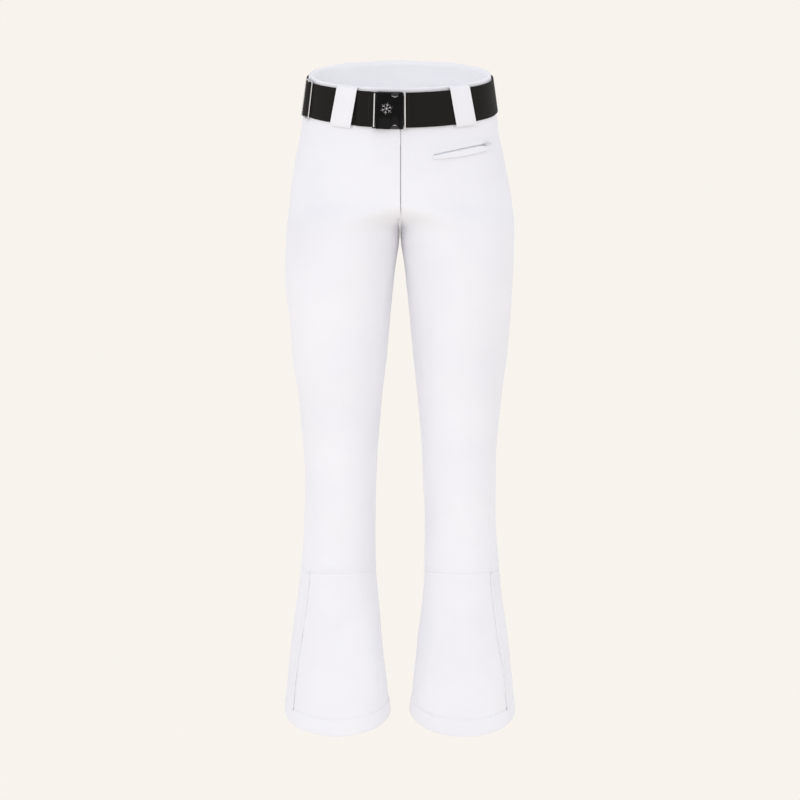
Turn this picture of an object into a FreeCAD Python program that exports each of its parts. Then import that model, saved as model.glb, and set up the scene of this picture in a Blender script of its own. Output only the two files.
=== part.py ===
import FreeCAD, Part
import math
import os

# Fitted, flared softshell ski pants with an elastic belt.
# Frame: millimetres, origin at the centre of the waist opening, +Z up, +X to the wearer's left,
# -Y to the front.  "Right" and "left" in the names are the wearer's.

V = FreeCAD.Vector

# ---------------------------------------------------------------- driving dimensions (mm, degrees)
CLOTH = 2.0                 # thickness of the bonded softshell
SEAM = 0.1                  # half of the gap that stands for a sewn seam
WAIST_TILT = 12.5           # the waist opening is lower in front than behind
WAIST_HALF_DEPTH = 92.0
WAIST_SIDE_X = 73.0         # centre of the small arcs at the sides of the waist
WAIST_SIDE_R = 66.0
WAIST_FLARE = 0.149         # how much the waist widens per mm of drop
BAND_DROP = 50.0            # height of the waistband

BELT_TOP = -5.0             # along the waist's own axis
BELT_BOTTOM = -57.0
STRAP = 1.4                 # webbing thickness
LOW_LAYER = 1.6             # clear gap between waistband and the first webbing layer
HIGH_LAYER = 3.4            # underside of the second webbing layer
LOOP_CLEAR = 5.2            # underside of the belt loops
LOOP_CLOTH = 1.3
LOOP_WIDTH = 34.0

CROTCH_START = -180.0       # where the torso starts to divide
CROTCH_Z = -243.0
CALF_SEAM_Z = -775.0
HEM_Z = -1003.0
HEM_BAND = 24.0

FLY_TOP = 8.0               # below the waistband seam
FLY_LENGTH = 118.0
FLY_DEPTH = 10.8            # chain centre behind the outer face
POCKET_DEPTH = 5.2
TOOTH_PITCH = 3.0

# Station heights of one leg, top to bottom:
# height, outer x, inner x, depth to the front, depth to the back, centre y, tilt of the section
STATIONS = [
    (-48.8, 146.5, 0.0, 99.5, 99.5, 10.8, 12.5),
    (-85.0, 152.0, 0.0, 102.0, 109.0, 11.5, 10.5),
    (-115.0, 158.5, 0.0, 104.0, 116.0, 11.5, 8.5),
    (-150.0, 164.5, 0.0, 105.0, 120.0, 11.0, 6.0),
    (-190.0, 170.0, 0.0, 104.5, 119.0, 10.0, 3.0),
    (CROTCH_Z, 175.2, 0.2, 100.0, 108.0, 8.0, 0.5),
    (-300.0, 176.0, 8.3, 92.0, 95.0, 5.0, 0.0),
    (-400.0, 168.5, 17.3, 81.0, 82.0, 3.0, 0.0),
    (-504.0, 158.3, 27.3, 71.0, 72.0, 2.0, 0.0),
    (-630.0, 149.3, 36.9, 61.0, 61.0, 0.0, 0.0),
    (-700.0, 151.3, 38.6, 60.0, 61.0, 2.0, 0.0),
    (CALF_SEAM_Z, 157.0, 37.9, 61.0, 63.0, 3.0, 0.0),
    (-889.0, 171.5, 28.5, 66.0, 66.0, 2.0, 0.0),
    (HEM_Z, 183.0, 16.7, 71.0, 71.0, 1.0, 0.0),
]
# How far the middle of the front and back stands below the sides: height, drop
SEAM_CURVE = [(-48.0, 0.0), (-600.0, 0.0), (CALF_SEAM_Z, 7.0), (HEM_Z, -23.0)]
# How far the side seam has turned to the front: height, degrees
SIDE_TURN = [(-48.0, 0.0), (-380.0, 0.0), (-537.0, 24.0), (CALF_SEAM_Z, 40.0), (HEM_Z, 28.0)]
ROUND_END = -115.0          # the waist's four arcs have become an ellipse here
STRIP_WIDTH = 8.0           # raised seam strip on the flared lower leg

WAIST_ARC_Y = (WAIST_SIDE_X ** 2 - (WAIST_HALF_DEPTH - WAIST_SIDE_R) ** 2) / (
    2.0 * (WAIST_HALF_DEPTH - WAIST_SIDE_R))
WAIST_LONG_R = WAIST_ARC_Y + WAIST_HALF_DEPTH
SIDE_ARC = math.degrees(math.atan2(WAIST_ARC_Y, WAIST_SIDE_X))

parts = {}


# ---------------------------------------------------------------- small helpers
def put(name, shape):
    """Keep a finished shape under its node name."""
    if name in parts:
        raise ValueError("two nodes called " + name)
    solids = shape.Solids
    if not solids or not all(s.isValid() and s.isClosed() for s in solids):
        raise ValueError(name + " is not a valid closed solid")
    parts[name] = shape if len(solids) > 1 else solids[0]


def group(shapes):
    return Part.makeCompound(shapes)


def fused(shapes):
    body = shapes[0]
    for extra in shapes[1:]:
        body = body.fuse(extra)
    return body.removeSplitter()


def smoothstep(t):
    t = min(1.0, max(0.0, t))
    return t * t * (3.0 - 2.0 * t)


def along(table, z, column=1):
    """Monotone cubic through one column of a table that runs downwards."""
    xs = [-row[0] for row in table]
    ys = [row[column] for row in table]
    x = min(max(-z, xs[0]), xs[-1])
    steps = [(ys[i + 1] - ys[i]) / (xs[i + 1] - xs[i]) for i in range(len(xs) - 1)]
    slopes = [steps[0]]
    for before, after in zip(steps, steps[1:]):
        slopes.append(2.0 * before * after / (before + after) if before * after > 0 else 0.0)
    slopes.append(steps[-1])
    i = max(k for k in range(len(steps)) if x >= xs[k])
    width = xs[i + 1] - xs[i]
    t = (x - xs[i]) / width
    return (ys[i] * (1 + 2 * t) * (1 - t) ** 2 + slopes[i] * width * t * (1 - t) ** 2
            + ys[i + 1] * t * t * (3 - 2 * t) + slopes[i + 1] * width * t * t * (t - 1))


# ---------------------------------------------------------------- the shape of the pants
def opening_angle(z):
    """Angle at which a leg's oval starts: 90 degrees in the torso, 0 below the crotch."""
    share = smoothstep((CROTCH_START - z) / (CROTCH_START - CROTCH_Z))
    return math.pi / 2 * (1.0 - share)


def section_point(z, angle, row):
    """Point of one section in its own plane; the angle is pi at the outer side, less in front."""
    outer, inner, front, back = row[:4]
    start = opening_angle(z)
    half = (outer - inner) / (1.0 + math.cos(start))
    centre = inner + half * math.cos(start)
    depth = front if angle <= math.pi else back
    x = centre - half * math.cos(angle)
    y = -depth * math.sin(angle)
    blend = smoothstep((z - ROUND_END) / (STATIONS[0][0] - ROUND_END))
    if blend > 0.0:
        psi = angle - math.pi
        extra = WAIST_FLARE * BAND_DROP
        if abs(psi) < math.radians(SIDE_ARC):
            radius = WAIST_SIDE_R + extra
            arc = V(WAIST_SIDE_X + radius * math.cos(psi), radius * math.sin(psi), 0)
        else:
            radius = WAIST_LONG_R + extra
            shift = math.copysign(WAIST_ARC_Y, psi)
            arc = V(radius * math.cos(psi), radius * math.sin(psi) - shift, 0)
        x += blend * (arc.x * outer / STATIONS[0][1] - x)
        y += blend * (arc.y * depth / STATIONS[0][3] - y)
    return V(x, y, 0), centre


def skin_at(z, angle, inset=0.0, side=1):
    """Point of the pants at a height and section angle, moved in from the cloth's face by inset."""
    row = [along(STATIONS, z, k) for k in range(1, 7)]
    point, centre = section_point(z, angle, row)
    if inset:
        step = section_point(z, angle + 1e-4, row)[0] - section_point(z, angle - 1e-4, row)[0]
        normal = V(step.y, -step.x, 0).normalize()
        if normal.dot(point - V(centre, 0, 0)) < 0:
            normal = normal * -1
        point -= normal * inset
    lean = math.radians(row[5])
    drop = along(SEAM_CURVE, z) * abs(math.sin(angle))
    return V(side * (point.x + SEAM), row[4] + point.y * math.cos(lean),
             z + point.y * math.sin(lean) + drop)


def side_seam_angle(z):
    """The side seam stands at the side of the hip and turns to the front of the calf."""
    return math.pi - math.radians(along(SIDE_TURN, z))


def skin(z, u, face, inset=0.0, side=1):
    """Point of a panel: u is 0 at the middle or inseam and 1 at the side seam; face -1 front, 1 back."""
    gap = 2.0 * SEAM / (STATIONS[0][1] + WAIST_HALF_DEPTH)
    first = opening_angle(z) + gap
    seam = side_seam_angle(z)
    if face < 0:
        angle = first + (seam - gap - first) * u
    else:
        first = 2.0 * math.pi - first
        angle = first + (seam + gap - first) * u
    return skin_at(z, angle, inset, side)


def spline_face(net, row_degree=3, point_degree=3):
    """Face of a clamped B-spline net."""
    def knots(count, degree):
        inside = count - degree - 1
        return [degree + 1] + [1] * inside + [degree + 1], [float(k) for k in range(inside + 2)]
    row_mults, row_knots = knots(len(net), row_degree)
    point_mults, point_knots = knots(len(net[0]), point_degree)
    surface = Part.BSplineSurface()
    surface.buildFromPolesMultsKnots(net, row_mults, point_mults, row_knots, point_knots,
                                     False, False, row_degree, point_degree)
    return surface.toShape()


def shell_solid(outer, inner, row_degree=3, point_degree=3):
    """Closed solid between two nets of the same size."""
    faces = [spline_face(outer, row_degree, point_degree), spline_face(inner, row_degree, point_degree)]
    for k in (0, -1):
        faces.append(spline_face([outer[k], inner[k]], 1, point_degree))
        columns = [[row[k] for row in outer], [row[k] for row in inner]]
        faces.append(spline_face(columns, 1, row_degree))
    shell = Part.makeShell(faces)
    shell.sewShape()
    solid = Part.makeSolid(shell)
    if solid.Volume < 0:
        solid.reverse()
    return solid


def spread(first, last, count):
    return [first + (last - first) * k / (count - 1.0) for k in range(count)]


def panel(face, side, top, bottom, rows, points=16, inset=0.0, thickness=CLOTH, u_range=(0.0, 1.0)):
    """One cloth panel of a leg between two heights."""
    heights = spread(top, bottom, rows)
    shares = spread(u_range[0], u_range[1], points)
    outer = [[skin(z, u, face, inset, side) for u in shares] for z in heights]
    inner = [[skin(z, u, face, inset + thickness, side) for u in shares] for z in heights]
    return shell_solid(outer, inner)


# ---------------------------------------------------------------- the waist's own frame
def waist_centre(theta):
    """Centre and radius of the arc whose outward normal points at theta degrees."""
    theta = (theta + 180.0) % 360.0 - 180.0
    if abs(theta) <= SIDE_ARC:
        return V(WAIST_SIDE_X, 0, 0), WAIST_SIDE_R
    if abs(theta) >= 180.0 - SIDE_ARC:
        return V(-WAIST_SIDE_X, 0, 0), WAIST_SIDE_R
    return V(0, WAIST_ARC_Y if theta < 0 else -WAIST_ARC_Y, 0), WAIST_LONG_R


def waist_point(theta, drop, lift):
    """Point of the waist's oval, lifted off the waistband; drop is measured down its axis."""
    centre, radius = waist_centre(theta)
    reach = radius + lift - WAIST_FLARE * drop
    angle = math.radians(theta)
    return V(centre.x + reach * math.cos(angle), centre.y + reach * math.sin(angle), drop)


def tilted(item):
    """Turn a shape or point from the waist's own frame into the pants' frame."""
    if isinstance(item, V):
        return FreeCAD.Rotation(V(1, 0, 0), WAIST_TILT).multVec(item)
    turned = item.copy()
    turned.rotate(V(0, 0, 0), V(1, 0, 0), WAIST_TILT)
    return turned


def wrap(first, last, top, bottom, low, high, step=5.0):
    """Strip round the waist, between two normal angles, two heights and two lifts."""
    count = max(5, int(abs(last - first) / step) + 2)
    angles = spread(first, last, count)
    outer = [[tilted(waist_point(a, d, high)) for a in angles] for d in (top, bottom)]
    inner = [[tilted(waist_point(a, d, low)) for a in angles] for d in (top, bottom)]
    return shell_solid(outer, inner, 1, 3)


def swept(profile, first, last):
    """Turn a profile of (lift, drop) points about the axis of the arc it lies on."""
    centre, radius = waist_centre((first + last) / 2.0)
    angle = math.radians(first)
    points = []
    for lift, drop in profile:
        reach = radius + lift - WAIST_FLARE * drop
        points.append(V(centre.x + reach * math.cos(angle), centre.y + reach * math.sin(angle), drop))
    face = Part.Face(Part.makePolygon(points + points[:1]))
    return tilted(face.revolve(centre, V(0, 0, 1), last - first))


def swept_block(low, high, top, bottom, first, last):
    return swept([(low, top), (high, top), (high, bottom), (low, bottom)], first, last)


def front_angle(x):
    """Normal angle on the front arc at a given x, at mid belt height."""
    middle = (BELT_TOP + BELT_BOTTOM) / 2.0
    return -90.0 + math.degrees(math.asin(x / (WAIST_LONG_R + HIGH_LAYER - WAIST_FLARE * middle)))


# ---------------------------------------------------------------- cloth
def seam_strip(side):
    """Narrow raised strip over the side seam of a flared lower leg."""
    nets = []
    for inset in (-1.3, -0.3):
        net = []
        for z in spread(CALF_SEAM_Z - 1.5, HEM_Z + 1.0, 10):
            half = STRIP_WIDTH / 2.0 / along(STATIONS, z, 3)
            seam = side_seam_angle(z)
            net.append([skin_at(z, a, inset, side) for a in spread(seam - half, seam + half, 5)])
        nets.append(net)
    return shell_solid(nets[0], nets[1])


def build_cloth():
    for side, hand in ((1, "left"), (-1, "right")):
        front = panel(-1, side, STATIONS[0][0] - 0.3, CALF_SEAM_Z + 0.2, 46)
        if side > 0:
            front = front.cut(pocket_slit())
        put("front_panel_" + hand, front)
        put("back_panel_" + hand, panel(1, side, STATIONS[0][0] - 0.3, CALF_SEAM_Z + 0.2, 46))
        for face, word in ((-1, "front"), (1, "back")):
            put("flare_%s_%s" % (word, hand), panel(face, side, CALF_SEAM_Z - 0.2, HEM_Z, 12))
        hem = [panel(face, side, HEM_Z + HEM_BAND, HEM_Z + 0.5, 5, 16, CLOTH + 0.4, 1.0)
               for face in (-1, 1)]
        put("hem_facing_" + hand, group(hem))
        put("seam_strip_" + hand, seam_strip(side))


def build_waistband():
    gap = 0.06
    sides = 0.06
    band = (0.0, -BAND_DROP, -CLOTH, 0.0)
    put("waistband_front_left", wrap(-90 + gap, -sides, *band))
    put("waistband_front_right", wrap(-180 + sides, -90 - gap, *band))
    put("waistband_back", wrap(sides, 180 - sides, *band))
    lining = (-0.5, -BAND_DROP + 1.0, -CLOTH - 5.2, -CLOTH - 4.2)
    put("waistband_lining", group([wrap(-88, 90 - gap, *lining), wrap(90 + gap, 268, *lining)]))
    plate = swept_block(-CLOTH - 1.3, -CLOTH - 0.5, -14, -30, front_angle(-12), front_angle(10))
    put("waist_hook", plate)
    put("waist_bar", swept_block(-CLOTH - 2.9, -CLOTH - 1.9, -16, -28, front_angle(-4), front_angle(18)))


def ring(side, heights, inset_at, thickness):
    """Closed tube inside a leg, as the space between two lofts."""
    def loft(extra):
        wires = []
        for z in heights:
            outer, inner, front, back, middle = [along(STATIONS, z, k) for k in range(1, 6)]
            inset = inset_at(z) + extra
            half = (outer - inner) / 2.0 - inset
            depth = (front + back) / 2.0 - inset
            centre = V(side * (outer + inner) / 2.0, middle + (back - front) / 2.0, z)
            major, minor = (half, depth) if half > depth else (depth, half)
            ellipse = Part.Ellipse(centre, major, minor)
            turn = 0.0 if half > depth else 90.0
            edge = ellipse.toShape()
            edge.rotate(centre, V(0, 0, 1), turn)
            wires.append(Part.Wire([edge]))
        return Part.makeLoft(wires, True, True)
    return loft(0.0).cut(loft(thickness))


def build_gaiters():
    top = CALF_SEAM_Z - 12.0
    bottom = HEM_Z + 45.0

    def inset_at(z):
        return 6.0 + 12.0 * (top - z) / (top - bottom)

    for side, hand in ((1, "left"), (-1, "right")):
        put("snow_gaiter_" + hand, ring(side, (top, bottom), inset_at, 0.8))
        put("gaiter_elastic_" + hand, ring(side, (bottom + 22.0, bottom + 2.0),
                                           lambda z: inset_at(z) + 1.3, 1.2))


# ---------------------------------------------------------------- zips
def zip_body(lug_top):
    """Slider: s along the closing travel, b across, r outwards, origin in the chain's middle."""
    top = Part.makeBox(9.0, 7.0, 1.0, V(-4.5, -3.5, 1.0))
    bottom = Part.makeBox(9.0, 7.0, 1.0, V(-4.5, -3.5, -2.0))
    post = Part.makeBox(1.8, 0.8, 2.4, V(2.4, -0.4, -1.2))
    lug = Part.makeBox(2.4, 1.2, lug_top - 1.5, V(-1.2, -0.6, 1.5))
    pin = Part.makeCylinder(0.5, 3.4, V(0, -1.7, lug_top - 0.9), V(0, 1, 0))
    flanges = []
    for b in (-3.5, 2.9):
        for r in (0.5, -1.1):
            flanges.append(Part.makeBox(9.0, 0.6, 0.6, V(-4.5, b, r)))
    return fused([top, bottom, post, lug, pin] + flanges)


def zip_pull(lug_top, length, width, way):
    """Pull tab with two eyes on the slider's pin; way is +1 or -1 along the travel."""
    height = lug_top - 0.9
    pieces = []
    for b in (-1.6, 0.8):
        pieces.append(Part.makeCylinder(1.0, 0.8, V(0, b, height), V(0, 1, 0)))
        pieces.append(Part.makeBox(1.9, 0.8, 1.0, V(0, b, height - 0.5)))
    tab = Part.makeBox(length - 1.7, width, 1.0, V(1.7, -width / 2.0, height - 0.5))
    corners = [e for e in tab.Edges if abs(e.tangentAt(e.FirstParameter).z) > 0.9]
    far = [e for e in corners if e.CenterOfMass.x > length - 0.5]
    pieces.append(tab.makeFillet(1.2, far))
    body = fused(pieces)
    body = body.cut(Part.makeCylinder(0.56, 4.0, V(0, -2.0, height), V(0, 1, 0)))
    if way < 0:
        body.rotate(V(0, 0, 0), V(0, 0, 1), 180)
    return body


def placed(shape, origin, s_way, b_way, r_way):
    matrix = FreeCAD.Matrix(s_way.x, b_way.x, r_way.x, origin.x,
                            s_way.y, b_way.y, r_way.y, origin.y,
                            s_way.z, b_way.z, r_way.z, origin.z,
                            0, 0, 0, 1)
    moved = shape.copy()
    moved.Placement = FreeCAD.Placement(matrix).multiply(shape.Placement)
    return moved


def teeth_row(place, length, sign):
    """Row of zip teeth; place(s) puts a shape that is drawn at the chain's middle."""
    low = 0.7 if sign > 0 else -2.5
    row = []
    count = int(length / TOOTH_PITCH)
    for k in range(count):
        s = (k + (0.5 if sign > 0 else 1.0)) * TOOTH_PITCH
        if s + 1.0 < length:
            row.append(place(s, Part.makeBox(1.6, 1.8, 1.4, V(-0.8, low, -0.7))))
    return group(row)


# ---------------------------------------------------------------- fly
def fly_frame():
    top = skin(STATIONS[0][0] - FLY_TOP, 0.0, -1)
    bottom = skin(STATIONS[0][0] - FLY_TOP - FLY_LENGTH, 0.0, -1)
    down = (bottom - top)
    down.x = 0
    down.normalize()
    outward = V(1, 0, 0).cross(down).normalize()
    if outward.y > 0:
        outward = outward * -1
    start = V(0, top.y, top.z) - outward * FLY_DEPTH
    return start, down, outward


def build_fly():
    start, down, outward = fly_frame()
    up = down * -1
    across = outward.cross(up)

    def at(distance, shape):
        return placed(shape, start + down * distance, up, across, outward)

    def strip(first, last, b0, b1, r0, r1):
        return at(0.0, Part.makeBox(last - first, b1 - b0, r1 - r0, V(-last, b0, r0)))

    length = FLY_LENGTH
    for sign, hand in ((across.x, "left"), (-across.x, "right")):
        low, high = (2.6, 14.0) if sign > 0 else (-14.0, -2.6)
        put("fly_zip_tape_" + hand, strip(0.0, length, low, high, -0.3, 0.3))
        put("fly_zip_teeth_" + hand, teeth_row(lambda s, t: at(s + 2.0, t), length - 6.0, sign))
    put("fly_zip_slider", at(9.0, zip_body(4.1)))
    put("fly_zip_pull", at(9.0, zip_pull(4.1, 17.0, 5.0, -1)))
    put("fly_bottom_stop", strip(length - 3.5, length - 1.0, -2.4, 2.4, -0.9, 0.9))
    stops = [strip(0.6, 2.2, b, b + 1.8, -0.9, 0.9) for b in (-2.5, 0.7)]
    put("fly_top_stops", group(stops))
    put("fly_shield", strip(0.0, length + 6.0, -16.0, 22.0, -4.0, -3.0))
    head = start + down * 9.0
    print("fly slide at", head, "axis", down, "pull pin", head + outward * 3.2)


# ---------------------------------------------------------------- pocket
POCKET_FROM = (-103.4, 0.205)
POCKET_TO = (-96.0, 0.635)


def pocket_frame():
    """Circle that the pocket's opening follows, and its angle span."""
    ends = [skin(z, u, -1) for z, u in (POCKET_FROM, POCKET_TO)]
    z = (POCKET_FROM[0] + POCKET_TO[0]) / 2.0
    u = (POCKET_FROM[1] + POCKET_TO[1]) / 2.0
    middle = skin(z, u, -1)
    across = skin(z, u + 0.01, -1) - skin(z, u - 0.01, -1)
    along_z = skin(z + 1, u, -1) - skin(z - 1, u, -1)
    normal = across.cross(along_z).normalize()
    chord = (ends[1] - ends[0]).normalize()
    axis = chord.cross(normal).normalize()
    if axis.z < 0:
        axis = axis * -1
    middle = middle - axis * (middle - ends[0]).dot(axis)
    circle = Part.Circle(ends[0], middle, ends[1])
    spoke = (ends[0] - circle.Center).normalize()
    other = axis.cross(spoke)
    reach = ends[1] - circle.Center
    span = math.degrees(math.atan2(reach.dot(other), reach.dot(spoke)))
    return circle.Center, axis, spoke, other, circle.Radius, span


def pocket_block(r0, r1, b0, b1, first, last):
    """Curved block of the pocket: r from the cloth's face, b up, s in mm along the opening."""
    centre, axis, spoke, other, radius, span = pocket_frame()
    length = math.radians(span) * radius
    angle = span * first / length
    way = spoke * math.cos(math.radians(angle)) + other * math.sin(math.radians(angle))
    corners = [centre + way * (radius + r) + axis * b for r, b in ((r0, b0), (r1, b0), (r1, b1), (r0, b1))]
    face = Part.Face(Part.makePolygon(corners + corners[:1]))
    return face.revolve(centre, axis, span * (last - first) / length)


def pocket_length():
    span, radius = pocket_frame()[5], pocket_frame()[4]
    return math.radians(span) * radius


def pocket_slit():
    return pocket_block(-6.0, 6.0, -1.2, 1.2, 0.0, pocket_length())


def build_pocket():
    centre, axis, spoke, other, radius, span = pocket_frame()
    length = pocket_length()

    def at(distance, shape):
        angle = distance / radius
        outward = spoke * math.cos(angle) + other * math.sin(angle)
        forward = axis.cross(outward)
        base = centre + outward * (radius - POCKET_DEPTH)
        return placed(shape, base, forward, outward.cross(forward), outward)

    put("pocket_welt", pocket_block(0.6, 1.7, -9.0, -1.5, -2.0, length + 2.0))
    depth = -POCKET_DEPTH
    put("pocket_zip_tapes", group([pocket_block(depth - 0.3, depth + 0.3, b, b + 8.0, -4.0, length + 4.0)
                                   for b in (2.6, -10.6)]))
    rows = [teeth_row(at, length - 1.0, sign) for sign in (1, -1)]
    put("pocket_zip_teeth", group([tooth for row in rows for tooth in row.Solids]))
    stops = [pocket_block(depth - 0.9, depth + 0.9, -2.4, 2.4, s, s + 1.6) for s in (-2.4, length + 0.8)]
    put("pocket_zip_stops", group(stops))
    rest = length - 5.5
    lug = POCKET_DEPTH + 3.9
    put("pocket_zip_slider", at(rest, zip_body(lug)))
    put("pocket_zip_pull", at(rest, zip_pull(lug, 12.0, 4.0, 1)))
    put("pocket_bag", pocket_bag())
    angle = rest / radius
    outward = spoke * math.cos(angle) + other * math.sin(angle)
    print("pocket centre", centre, "axis", axis, "radius", radius, "span", span, "length", length)
    print("pocket pull pin", centre + outward * (radius + 3.0))
    print("pocket travel deg", -math.degrees((rest - 6.0) / radius))


def pocket_bag():
    """Flat bag behind the zip, hanging against the inside of the front panel."""
    shares = spread(0.22, 0.66, 10)
    heights = spread(-118.0, -215.0, 9)
    outer = [[skin(z, u, -1, CLOTH + 6.0) for u in shares] for z in heights]
    inner = [[skin(z, u, -1, CLOTH + 8.4) for u in shares] for z in heights]
    return shell_solid(outer, inner)


# ---------------------------------------------------------------- belt
BUCKLE_FROM = -35.0
BUCKLE_TO = 4.6
BAR_RIGHT_GAP = 2.8         # from the housing's ends to the middles of the two end bars
BAR_LEFT_GAP = 2.5
FOLD_GAP = 5.1              # from the housing's open end to the front webbing
LOOP_LEFT_X = 94.0
LOOP_RIGHT_X = -84.0
LOOP_LEAN = 0.04            # degrees about the waist per mm of drop
FRONT_LOOP_FOOT = 2.3       # lift of the loops' sewn lower ends; the hip leaves the belt behind
BACK_LOOP_FOOT = 0.4
BUCKLE_LOW = HIGH_LAYER + 1.6
BUCKLE_HIGH = HIGH_LAYER + 6.6
PLUG_LOW = HIGH_LAYER + 1.9
PLUG_HIGH = HIGH_LAYER + 4.3
BAR_LIFT = HIGH_LAYER + 3.2
BAR_RADIUS = 1.5


def belt_loop(angle, lean, low_foot):
    """Belt loop sewn on at both ends; lean turns it about the waist, in degrees per mm of drop."""
    under = LOOP_CLEAR
    over = LOOP_CLEAR + LOOP_CLOTH
    foot = 0.6
    top = -1.0
    bottom = BELT_BOTTOM - 4.5
    outer = [(foot, top), (over, top - 1.2), (over, bottom + 1.2), (low_foot, bottom)]
    inner = [(foot, top - 2.4), (under, BELT_TOP + 1.0), (under, BELT_BOTTOM - 0.7), (low_foot, bottom + 2.4)]
    middle = (top + bottom) / 2.0
    half = math.degrees(LOOP_WIDTH / 2.0 / (WAIST_LONG_R + 8.0))
    turns = spread(angle - half, angle + half, 6)
    nets = [[[tilted(waist_point(a + lean * (drop - middle), drop, lift)) for a in turns]
             for lift, drop in path] for path in (outer, inner)]
    return shell_solid(nets[0], nets[1], 1, 3)


def build_loops():
    put("belt_loop_front_left", belt_loop(front_angle(LOOP_LEFT_X), -LOOP_LEAN, FRONT_LOOP_FOOT))
    put("belt_loop_front_right", belt_loop(front_angle(LOOP_RIGHT_X), LOOP_LEAN, FRONT_LOOP_FOOT))
    for word, angle in (("left", 62.0), ("middle", 90.0), ("right", 118.0)):
        put("belt_loop_back_" + word, belt_loop(angle, 0.0, BACK_LOOP_FOOT))


def build_belt():
    low = LOW_LAYER
    high = HIGH_LAYER
    start = front_angle(LOOP_LEFT_X - 14.0)
    end = front_angle(BUCKLE_FROM - 3.5) + 360.0
    put("belt_strap", wrap(start, end, BELT_TOP, BELT_BOTTOM, low, low + STRAP))
    fold_from = front_angle(LOOP_RIGHT_X + 19.0)
    fold_to = front_angle(BUCKLE_FROM - 5.6)
    put("belt_fold_right", swept_block(high, high + STRAP, BELT_TOP, BELT_BOTTOM, fold_from, fold_to))
    put("belt_strap_front", swept_block(high, high + STRAP, BELT_TOP, BELT_BOTTOM,
                                        front_angle(BUCKLE_TO + FOLD_GAP), front_angle(LOOP_LEFT_X - 10.0)))
    put("belt_fold_left", swept_block(high + STRAP + 0.1, high + 2 * STRAP + 0.1, BELT_TOP - 0.3,
                                      BELT_BOTTOM + 0.3, front_angle(BUCKLE_TO + FOLD_GAP),
                                      front_angle(BUCKLE_TO + FOLD_GAP + 7.2)))


def build_buckle():
    first = front_angle(BUCKLE_FROM)
    last = front_angle(BUCKLE_TO)
    top = BELT_TOP + 1.0
    bottom = BELT_BOTTOM - 1.0
    case = swept_block(BUCKLE_LOW, BUCKLE_HIGH, top, bottom, first, last)
    case = case.makeFillet(0.8, [e for e in case.Edges if e.Length > 20.0][:4])
    cavity = swept_block(BUCKLE_LOW - 1.0, BUCKLE_HIGH - 2.0, top - 4.0, bottom + 4.0, first + 0.8, last + 2.0)
    case = case.cut(cavity)
    notch_x = front_angle(-7.6)
    centre, radius = waist_centre(notch_x)
    for drop in (top, bottom):
        spot = waist_point(notch_x, drop, 0.0)
        way = V(math.cos(math.radians(notch_x)), math.sin(math.radians(notch_x)), 0)
        cutter = tilted(Part.makeCylinder(6.2, 20.0, spot - way * 2.0, way))
        case = case.cut(cutter)
    put("buckle_housing", case)
    back = swept_block(HIGH_LAYER, HIGH_LAYER + 1.2, top - 1.0, bottom + 1.0, first, last)
    put("buckle_back_plate", back)
    bar_x = BUCKLE_FROM - BAR_RIGHT_GAP
    put("buckle_bar_right", bar(front_angle(bar_x), BAR_RADIUS))
    bore = bar(front_angle(bar_x), BAR_RADIUS + 0.06)
    ears = [swept_block(BAR_LIFT - 2.4, BAR_LIFT + 2.4, d, d - 2.0, front_angle(bar_x) - 0.75, first - 0.02)
            for d in (top - 0.3, bottom + 2.3)]
    put("buckle_ears", group([ear.cut(bore) for ear in ears]))

    plug_bar = front_angle(BUCKLE_TO + BAR_LEFT_GAP)
    tongue = swept_block(PLUG_LOW, PLUG_HIGH, -23.0, -39.0, first + 2.2, plug_bar - 0.55)
    head = swept_block(PLUG_LOW, PLUG_HIGH, top - 5.0, bottom + 5.0, last - 0.6, plug_bar - 0.55)
    put("buckle_plug", fused([tongue, head]))
    put("buckle_bar_left", bar(plug_bar, BAR_RADIUS))
    for name, d0, d1 in (("buckle_prong_top", top - 4.25, -20.5), ("buckle_prong_bottom", -41.5, bottom + 4.25)):
        put(name, swept_block(PLUG_LOW, PLUG_HIGH, d0, d1, first + 3.4, last - 0.75))
    print("buckle axis through", tilted(V(0, WAIST_ARC_Y, 0)), "along", tilted(V(0, 0, 1)))


def bar(angle, radius):
    """Round end bar of the buckle, along the slant of the belt."""
    ends = [waist_point(angle, d, BAR_LIFT) for d in (BELT_TOP + 0.6, BELT_BOTTOM - 0.6)]
    way = ends[1] - ends[0]
    return tilted(Part.makeCylinder(radius, way.Length, ends[0], way))


def build_adjuster():
    """Three-bar slide on the right side of the belt; it turns about the side arc's centre."""
    front = -180.0 + 34.0
    back = -180.0 + 13.0
    low = HIGH_LAYER
    high = HIGH_LAYER + 2.0
    rails = [swept_block(low, high, d, d - 2.4, back, front) for d in (BELT_TOP + 3.4, BELT_BOTTOM - 1.0)]
    bars = [swept_block(low, high, BELT_TOP + 2.0, BELT_BOTTOM - 2.0, a, a + 2.2)
            for a in (back, (back + front) / 2.0 - 1.1, front - 2.2)]
    put("adjuster_frame", fused(rails + bars))
    put("adjuster_webbing", swept_block(high + 0.35, high + 0.35 + STRAP, BELT_TOP - 0.5, BELT_BOTTOM + 0.5,
                                        back + 2.6, front - 2.6))
    print("adjuster centre", tilted(V(-WAIST_SIDE_X, 0, 0)))


build_cloth()
build_waistband()
build_gaiters()
build_fly()
build_pocket()
build_loops()
build_belt()
build_buckle()
build_adjuster()

os.makedirs("parts", exist_ok=True)
for name, shape in parts.items():
    shape.exportStep("parts/" + name + ".step")
print(len(parts), "nodes")
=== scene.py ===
import math

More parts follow.
